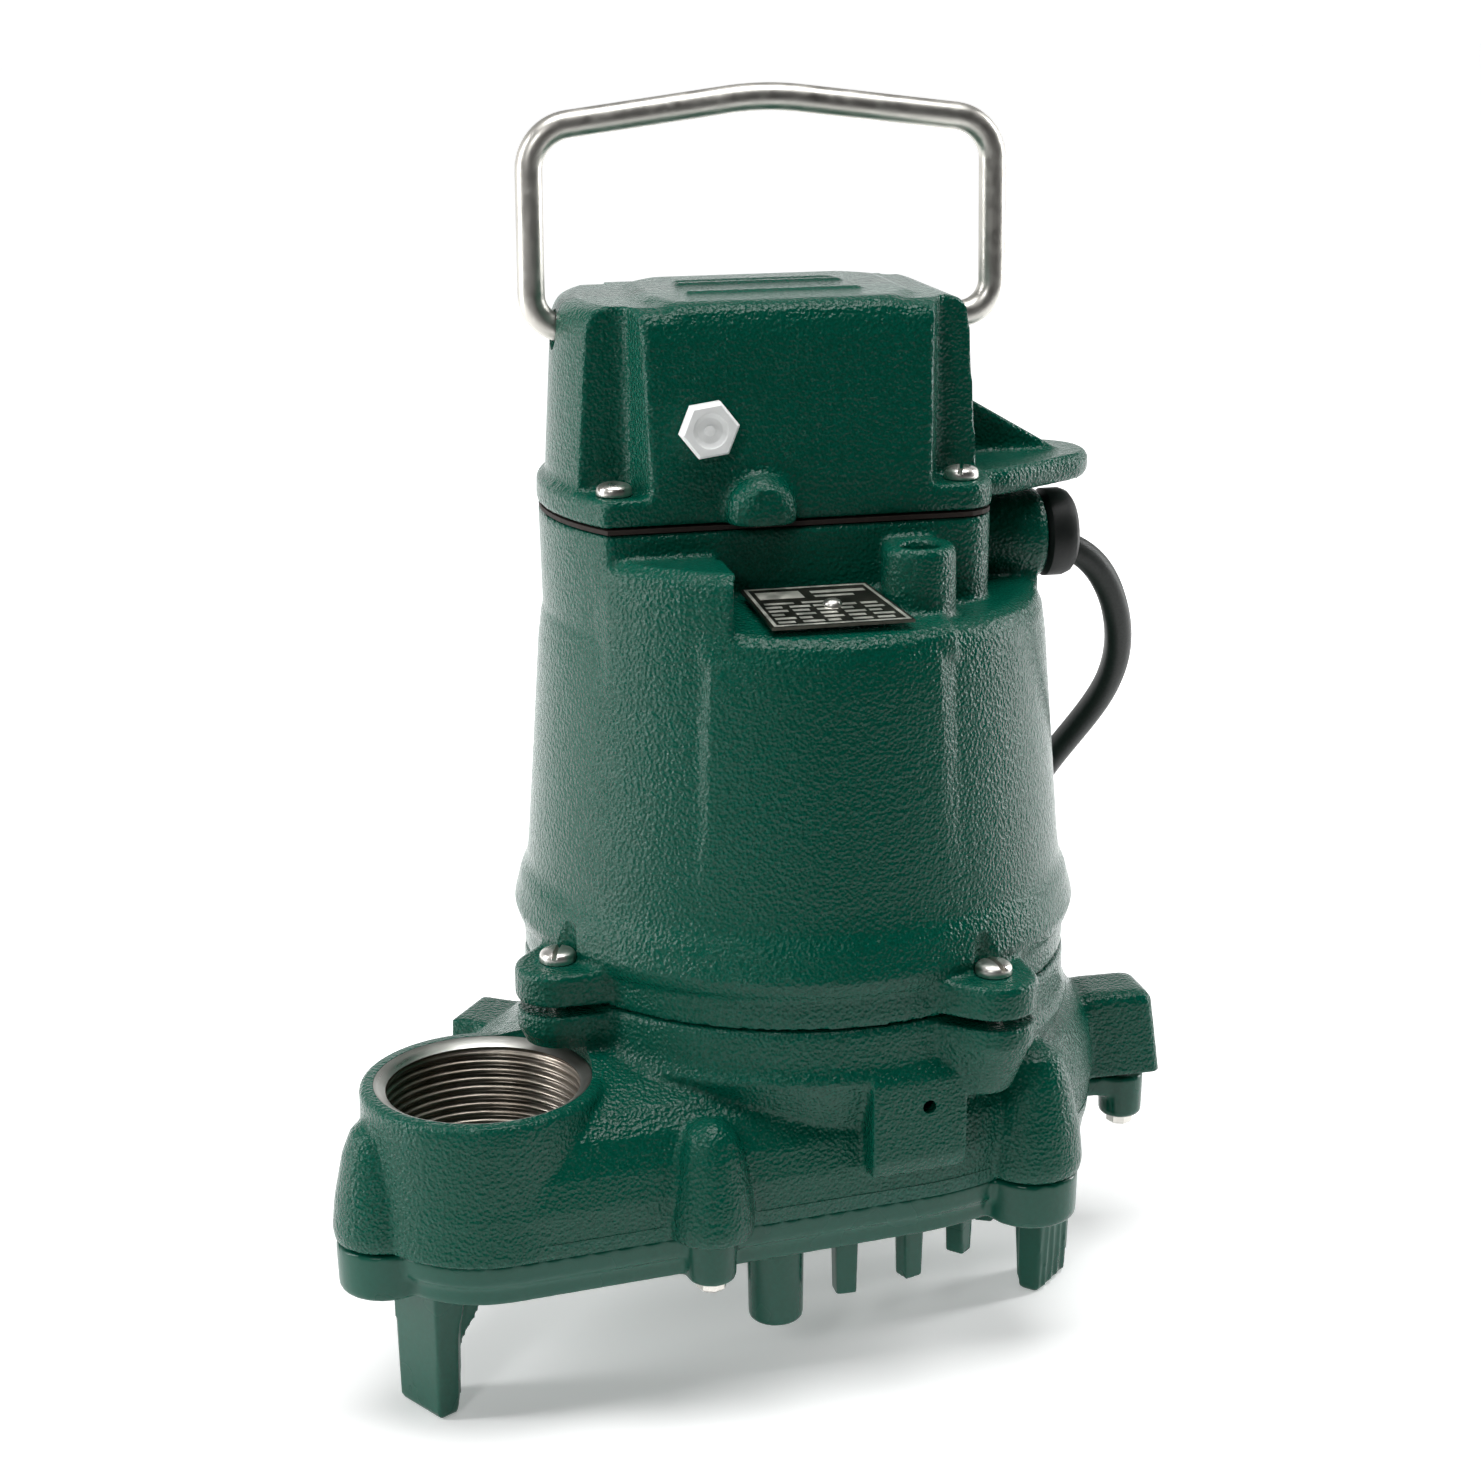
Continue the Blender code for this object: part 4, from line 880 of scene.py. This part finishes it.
post_list = [
    (-147, 2.4, 18.0), (-127, 2.4, 18.0), (-108, 6.6, 13.8), (-89, 2.6, 18.0), (-69, 2.5, 18.6),
    (-48, 2.4, 18.6), (-26, 2.4, 18.6), (-4, 6.4, 13.8), (18, 2.4, 18), (40, 2.4, 18), (62, 2.4, 18),
    (84, 6.4, 13.8), (106, 2.4, 18), (128, 2.4, 18), (150, 2.4, 18), (172, 6.4, 13.8), (-168, 2.4, 18.0)]
for i, (a, r, z) in enumerate(post_list):
    x, y = polar(50.0 + (3.2 if r > 5 else 0), a)
    if r > 5:
        weld(
            base,
            turned(
                f"post{i}", [(r - 0.8, z), (r, z + 0.8), (r + 0.3, 34), (r + 2.6, 41), (r + 3.2, 43.0)],
                (x, y), 12))
    else:
        weld(base, turned_box(f"post{i}", x, y, a, 2 * r, 5.0, z, 43.0, 2 * r + 1.0, 6.0))
# Three legs with gussets. Each outer face is square to its own direction.
LEGS = ((-103.0, -51.6, -148.0, 15.6), (62.6, -24.6, -44.0, 16.2), (1.3, 71.6, 94.7, 16.0))
for i, (x, y, a, w) in enumerate(LEGS):
    u = (math.cos(math.radians(a)), math.sin(math.radians(a)))
    v = (-u[1], u[0])
    lean = 2.6 if i == 1 else 0.4

    def leg_ring(out, depth, width, z):
        return [
            (x + u[0] * d + v[0] * s, y + u[1] * d + v[1] * s, z)
            for d, s in (
                (out, -width / 2), (out, width / 2), (out - depth, width / 2), (out - depth, -width / 2))]

    leg = from_rings(
        f"leg{i}",
        [
            leg_ring(-0.9, 4.6, w - 1.6, 0.0), leg_ring(-0.1, 5.8, w, 0.9),
            leg_ring(0.35 * lean, 6.6, w + 0.8, 20.0), leg_ring(lean, 12.0, w + 2.2, 44.8)])
    hand = -1 if i == 1 else 1
    rib = from_rings(
        f"rib{i}",
        [
            [
                (x - u[0] * d + v[0] * t * hand, y - u[1] * d + v[1] * t * hand, z)
                for d, z in (
                    (4.0, 3.0), (4.0, 43.2), (30.0, 43.2), (26.0, 36.0), (15.0, 26.5), (7.6, 17.5),
                    (6.6, 3.0))]
            for t in (w / 2 - 4.6, w / 2 - 0.8)])
    weld(base, leg, rib)
leg_x, leg_y, leg_turn = LEGS[1][:3]
for j in range(4):
    a = math.radians(leg_turn)
    u, v = (math.cos(a), math.sin(a)), (-math.sin(a), math.cos(a))
    s = -5.4 + 3.6 * j
    weld(
        base,
        from_rings(
            f"flute{j}",
            [
                [
                    (leg_x + u[0] * (d + o) + v[0] * (s + t), leg_y + u[1] * (d + o) + v[1] * (s + t), z)
                    for d, t in ((-1.0, -0.8), (0.8, -0.5), (0.8, 0.5), (-1.0, 0.8))]
                for z, o in ((1.2, 0.0), (20.0, 0.9), (44.0, 2.5))]))
base = soften(base, PLASTIC_VOXEL, 3)
cut(base, turned("inlet", [(17.0, 30), (17.0, 50)], n=32))
for i, c in enumerate(BOSSES):
    cut(base, turned(f"hole{i}", [(2.5, 25), (2.5, 50)], c, 10))
piece(base, "base_moulding", PLASTIC, "base_plate", slot="plastic_green", smooth=50.0)

# ---- Outlet thread: pipe thread with a bright chamfered mouth ------------------------------------
def thread_sleeve(name, around, z0, z1, pitch):
    """A sleeve whose bore is a helical thread that fades out at both ends."""
    ring, crest, depth, wall = 36 * FINE, THREAD_R + 0.25, 1.35, 25.3
    angles = [2 * math.pi * i / ring for i in range(ring)]
    levels = int((z1 - z0) / pitch * 10)
    loops = []
    for j in range(levels + 1):
        z = z0 + (z1 - z0) * j / levels
        fade = min(1.0, (z1 - z) / 1.6, (z - z0) / 2.0)
        loop = []
        for i, a in enumerate(angles):
            phase = (z / pitch - i / ring) % 1.0
            tooth = 1.0 - abs(2.0 * phase - 1.0)
            r = crest + depth * (1.0 - min(1.0, max(0.0, (tooth - 0.12) / 0.76))) * fade
            loop.append((around[0] + r * math.cos(a), around[1] + r * math.sin(a), z))
        loops.append(loop)
    low, high = (
        [(around[0] + wall * math.cos(a), around[1] + wall * math.sin(a), z) for a in angles]
        for z in (z0, z1))
    return from_rings(name, [low] + loops + [high], True)


thread = thread_sleeve("thread", HUB_C, 56.7, 78.4, 2.21)
piece(thread, "outlet_thread", THREAD, smooth=60.0)
rim = turned(
    "rim", [(THREAD_R + 0.3, 78.5), (25.0, 80.1), (25.3, 80.15), (25.3, 78.5)], HUB_C, 48, ring=True)
piece(rim, "outlet_chamfer", RIM, smooth=30.0)


# ---- Fasteners -----------------------------------------------------------------------------------
def pan_head(name, x, y, seat, head_r, head_h, shank_r, length, slot_angle, node):
    """A slotted pan head with a rounded rim, a chamfered slot and its shank."""
    profile = [
        (shank_r, seat - length), (shank_r, seat + 0.05), (head_r * 0.98, seat + 0.1), (head_r, seat + 0.3)]
    for k in range(9):
        t = k / 8.0
        profile.append(
            (head_r * (1.0 - 0.86 * t ** 2.2), seat + head_h * (0.36 + 0.64 * (1.0 - (1.0 - t) ** 1.8))))
    head = turned(name, profile, (x, y), 16)
    cut(
        head,
        turned_box("slot", x, y, slot_angle, 1.15, head_r * 2.6, seat + head_h * 0.48, seat + head_h * 2))
    bevel = head.modifiers.new("edge", "BEVEL")
    bevel.width, bevel.segments, bevel.limit_method, bevel.angle_limit = 0.00012, 2, "ANGLE", math.radians(40)
    baked(head)
    return piece(head, name, SCREW, node, slot="screw_steel", smooth=35.0)


for i, (x, y) in enumerate(SCREWS_CASE):
    pan_head(
        f"case_screw_head_{i + 1}", x, y, CASE_LEDGE + 0.15, 4.1, 3.0, 1.75, 18.0, 20 + 50 * i,
        f"case_screw_{i + 1}")
for i in range(4):
    x, y = polar(EAR_R, EAR_START + 90 * i)
    pan_head(
        f"flange_screw_head_{i + 1}", x, y, 102.95, 4.3, 3.2, 1.95, 17.5, 70 + 35 * i,
        f"flange_screw_{i + 1}")

# ---- Handle, oil plug, gland ---------------------------------------------------------------------
mid = (ROD_LEFT + ROD_RIGHT) / 2
rod = tube(
    "rod",
    fillet_path(
        [
            (-47.0, HANDLE_Y, PIVOT_Z), (ROD_LEFT, HANDLE_Y, PIVOT_Z),
            (ROD_LEFT + 0.4, HANDLE_Y, GRIP_Z - 1.2), (mid, HANDLE_Y, PEAK_Z),
            (ROD_RIGHT - 0.4, HANDLE_Y, GRIP_Z - 1.2), (ROD_RIGHT, HANDLE_Y, PIVOT_Z),
            (34.0, HANDLE_Y, PIVOT_Z)],
        [8.0, 10.5, 70.0, 10.5, 8.0], 14),
    ROD_R, 36)
piece(rod, "handle_rod", STEEL, "handle", body="handle", slot="stainless", smooth=50.0)

plug = turned_y("plug", [(6.9, -33.9), (6.9, -36.6), (6.2, -37.6)], *OIL_PLUG, 6, math.radians(8))
cut(plug, turned_y("dimple", [(2.9, -36.5), (3.9, -37.2), (4.6, -39)], *OIL_PLUG, 24))
bevel = plug.modifiers.new("edge", "BEVEL")
bevel.width, bevel.segments, bevel.limit_method, bevel.angle_limit = 0.0005, 3, "ANGLE", math.radians(28)
baked(plug)
weld(
    plug, turned_y("stem", [(4.1, -27.0), (4.1, -34.4)], *OIL_PLUG, 16),
    turned_y("pip", [(1.2, -36.2), (1.2, -36.9), (0.8, -37.1)], *OIL_PLUG, 12))
piece(plug, "oil_plug_hex", NYLON, "oil_plug", slot="nylon", smooth=35.0)

gland = turned_x(
    "gland", [(9.6, 62.6), (10.9, 63.6), (10.9, 67.8), (10.2, 69.6), (8.9, 70.6)], GLAND_Y, GLAND_Z, 10)
cut(gland, turned_x("gland_bore", [(5.4, 60), (5.6, 63.5), (8.3, 72.2)], GLAND_Y, GLAND_Z, 20))
bevel = gland.modifiers.new("edge", "BEVEL")
bevel.width, bevel.segments, bevel.limit_method, bevel.angle_limit = 0.0005, 2, "ANGLE", math.radians(28)
baked(gland)
piece(gland, "gland_nut_hex", BLACK, "gland_nut", slot="gland_black", smooth=35.0)

# ---- Nameplate: a dark plate with a light border, bars and blocks in place of any wording --------
PLATE_CORNERS = ((-17.8, -57.4, 186.0), (15.2, -57.4, 186.0), (9.0, -37.2, 190.3), (-20.6, -37.2, 190.3))


def on_plate(u, v, lift):
    """The point at the shares u and v of the plate's width and depth, raised by lift."""
    a, b, c, d = (Vector(p) for p in PLATE_CORNERS)
    p = (a * (1 - u) + b * u) * (1 - v) + (d * (1 - u) + c * u) * v
    return p + Vector((0, -0.2, 0.98)) * lift


def plate_patch(name, u0, u1, v0, v1, low, high):
    return from_rings(
        name,
        [
            [tuple(on_plate(u, v, z)) for u, v in ((u0, v0), (u1, v0), (u1, v1), (u0, v1))]
            for z in (low, high)])


plate = plate_patch("plate", 0, 1, 0, 1, 0.0, 0.75)
piece(plate, "nameplate_blank", PLATE, "nameplate", slot="plate", smooth=20.0)
marks = [
    plate_patch("m", u0, u1, v0, v1, 0.7, 0.80)
    for u0, u1, v0, v1 in (
        (0.02, 0.98, 0.02, 0.05), (0.02, 0.98, 0.95, 0.98), (0.02, 0.045, 0.05, 0.95),
        (0.955, 0.98, 0.05, 0.95), (0.08, 0.42, 0.70, 0.88), (0.50, 0.92, 0.80, 0.86),
        (0.50, 0.80, 0.70, 0.745), (0.08, 0.30, 0.56, 0.60), (0.36, 0.60, 0.56, 0.60))]
for row in range(5):
    for col in range(5):
        start, size = 0.07 + 0.176 * col, (0.12, 0.15, 0.09, 0.14)[(row + col) % 4]
        marks.append(
            plate_patch("m", start, start + size, 0.09 + 0.094 * row, 0.135 + 0.094 * row, 0.7, 0.80))
weld(marks[0], *marks[1:])
piece(marks[0], "nameplate_marks", INK, smooth=20.0)
rivet = turned(
    "rivet", [(2.3, 188.3), (2.3, 188.9), (2.15, 189.3), (1.8, 189.75), (1.2, 190.05), (0.2, 190.15)],
    (-1.5, -47.5), 16)
piece(rivet, "nameplate_rivet_head", SCREW, "nameplate_rivet", slot="screw_steel", smooth=60.0)

# ---- Plug on the cord, and the tie round the coil ------------------------------------------------
SHELL_PROFILE = (
    (9.6, -13), (10.3, -12.6), (10.5, -11), (10.5, -6), (10.2, 1), (9.4, 8), (8.2, 13), (6.8, 17.5),
    (6.0, 20), (5.4, 20.6), (5.3, 22.4), (5.9, 22.6), (5.8, 24.2), (5.0, 24.5), (4.9, 25.9), (5.3, 26.1),
    (5.2, 27.4), (4.4, 28))
shell = turned_x("plug_shell", [(r, plug_at[0] + x) for r, x in SHELL_PROFILE], plug_at[1], plug_at[2], 24)
piece(shell, "plug_shell", BLACK, "plug_body", slot="plug_black", smooth=45.0)
TIE_ANGLE, TIE_HALF_WIDTH = math.radians(200), 2.2


def tie_point(across, along, z):
    """A point of the tie, which crosses the turns at one place of the coil."""
    x, y = math.cos(TIE_ANGLE), math.sin(TIE_ANGLE)
    return COIL_C[0] + x * across + y * along, COIL_C[1] + y * across - x * along, z


tie = from_rings(
    "tie",
    [
        [
            tie_point(across, along, z)
            for across, along, z in (
                (inner, -TIE_HALF_WIDTH, low), (inner, TIE_HALF_WIDTH, low), (outer, TIE_HALF_WIDTH, high),
                (outer, -TIE_HALF_WIDTH, high))]
        for inner, low, outer, high in (
            (27.3, 0.5, 26.5, 0.05), (27.3, 28.9, 26.5, 29.7), (56.6, 28.9, 57.4, 29.7),
            (56.6, 0.5, 57.4, 0.05))],
    True)
piece(tie, "coil_tie", BLACK, smooth=30.0)

# ---- Carried-over pieces -------------------------------------------------------------------------
for material, names in (
    (GASKET, ("case_gasket",)), (BRASS, ("plug_blade_a", "plug_blade_b", "plug_earth_pin")),
    (COPPER, ("winding_lower", "winding_upper")), (LAMINATE, ("stator_core", "rotor", "seal_plate")),
    (STEEL, ("shaft", "bearing_lower_outer", "bearing_lower_inner", "impeller_nut")),
    (BRONZE, ("bearing_upper",)), (BROWN, ("impeller", "start_relay")), (CERAMIC, ("seal_stationary",)),
    (CARBON, ("seal_rotary",)), (NYLON, ("terminal_block",)), (BLACK, ("overload_protector",)),
    (SCREW, tuple(f"base_screw_{k}" for k in range(1, 7)))):
    for name in names:
        wear(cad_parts[name], material, 0)

# ---- Floor and light -----------------------------------------------------------------------------
floor = from_rings(
    "floor",
    [[(x * 9000.0, y * 9000.0, z) for x, y in ((-1, -1), (1, -1), (1, 1), (-1, 1))] for z in (-40.0, -0.02)]
)
g = Graph("pale_floor")
depth = g.add("ShaderNodeSeparateXYZ", {"Vector": g.where}).outputs["Y"]
fade = g.add(
    "ShaderNodeMapRange", {"Value": depth, "From Min": -0.62, "From Max": -0.26},
    interpolation_type="SMOOTHSTEP").outputs["Result"]
far = g.add(
    "ShaderNodeMapRange", {"Value": depth, "From Min": -0.5, "From Max": 0.7, "To Max": 0.85},
    interpolation_type="SMOOTHSTEP").outputs["Result"]
wear(
    floor,
    g.finish(
        Base_Color=g.mix(fade, (0.12, 0.12, 0.12), (0.95, 0.95, 0.95)), Roughness=0.8,
        Emission_Color=(1.0, 1.0, 1.0), Emission_Strength=far),
    0)


def softbox(name, place, aim, width, height, power):
    data = bpy.data.lights.new(name, "AREA")
    data.shape, data.size, data.size_y, data.energy = "RECTANGLE", width, height, power
    lamp = bpy.data.objects.new(name, data)
    bpy.context.scene.collection.objects.link(lamp)
    turn = (Vector(place) - Vector(aim)).to_track_quat("Z", "Y").to_matrix().to_4x4()
    lamp.matrix_world = Matrix.Translation(Vector(place)) @ turn
    return lamp


softbox("left_box", (-1.15, 0.05, 0.45), (0, 0, 0.16), 0.2, 1.2, 10)
softbox("right_box", (1.15, 0.15, 0.45), (0, 0, 0.16), 0.2, 1.2, 10)
softbox("top_box", (0.0, -0.22, 1.5), (0, 0, 0.0), 1.2, 0.6, 18)
softbox("front_box", (-0.9, -1.3, 1.0), (0, 0, 0.15), 0.3, 0.4, 5)

# The room is bright behind the object and at its sides, and dim in front of it.
world = bpy.data.worlds.new("studio")
bpy.context.scene.world = world
world.use_nodes = True
sky = world.node_tree
aim = sky.nodes.new("ShaderNodeTexCoord")
split = sky.nodes.new("ShaderNodeSeparateXYZ")
sky.links.new(aim.outputs["Generated"], split.inputs["Vector"])


def sky_range(socket, **values):
    """A smooth step over one coordinate of the direction looked in."""
    made = sky.nodes.new("ShaderNodeMapRange")
    made.interpolation_type = "SMOOTHSTEP"
    for key, value in values.items():
        made.inputs[key.replace("_", " ")].default_value = value
    sky.links.new(split.outputs[socket], made.inputs["Value"])
    return made.outputs["Result"]


level = sky.nodes.new("ShaderNodeMath")
level.operation = "MULTIPLY"
sky.links.new(sky_range("Y", From_Min=-0.1, From_Max=0.95, To_Min=0.03, To_Max=1.1), level.inputs[0])
sky.links.new(sky_range("Z", From_Min=0.15, From_Max=0.6, To_Min=1.0, To_Max=0.3), level.inputs[1])
sky.links.new(level.outputs["Value"], sky.nodes["Background"].inputs["Strength"])
sky.nodes["Background"].inputs["Color"].default_value = (1, 1, 1, 1)
bpy.context.scene.view_settings.view_transform = "Standard"
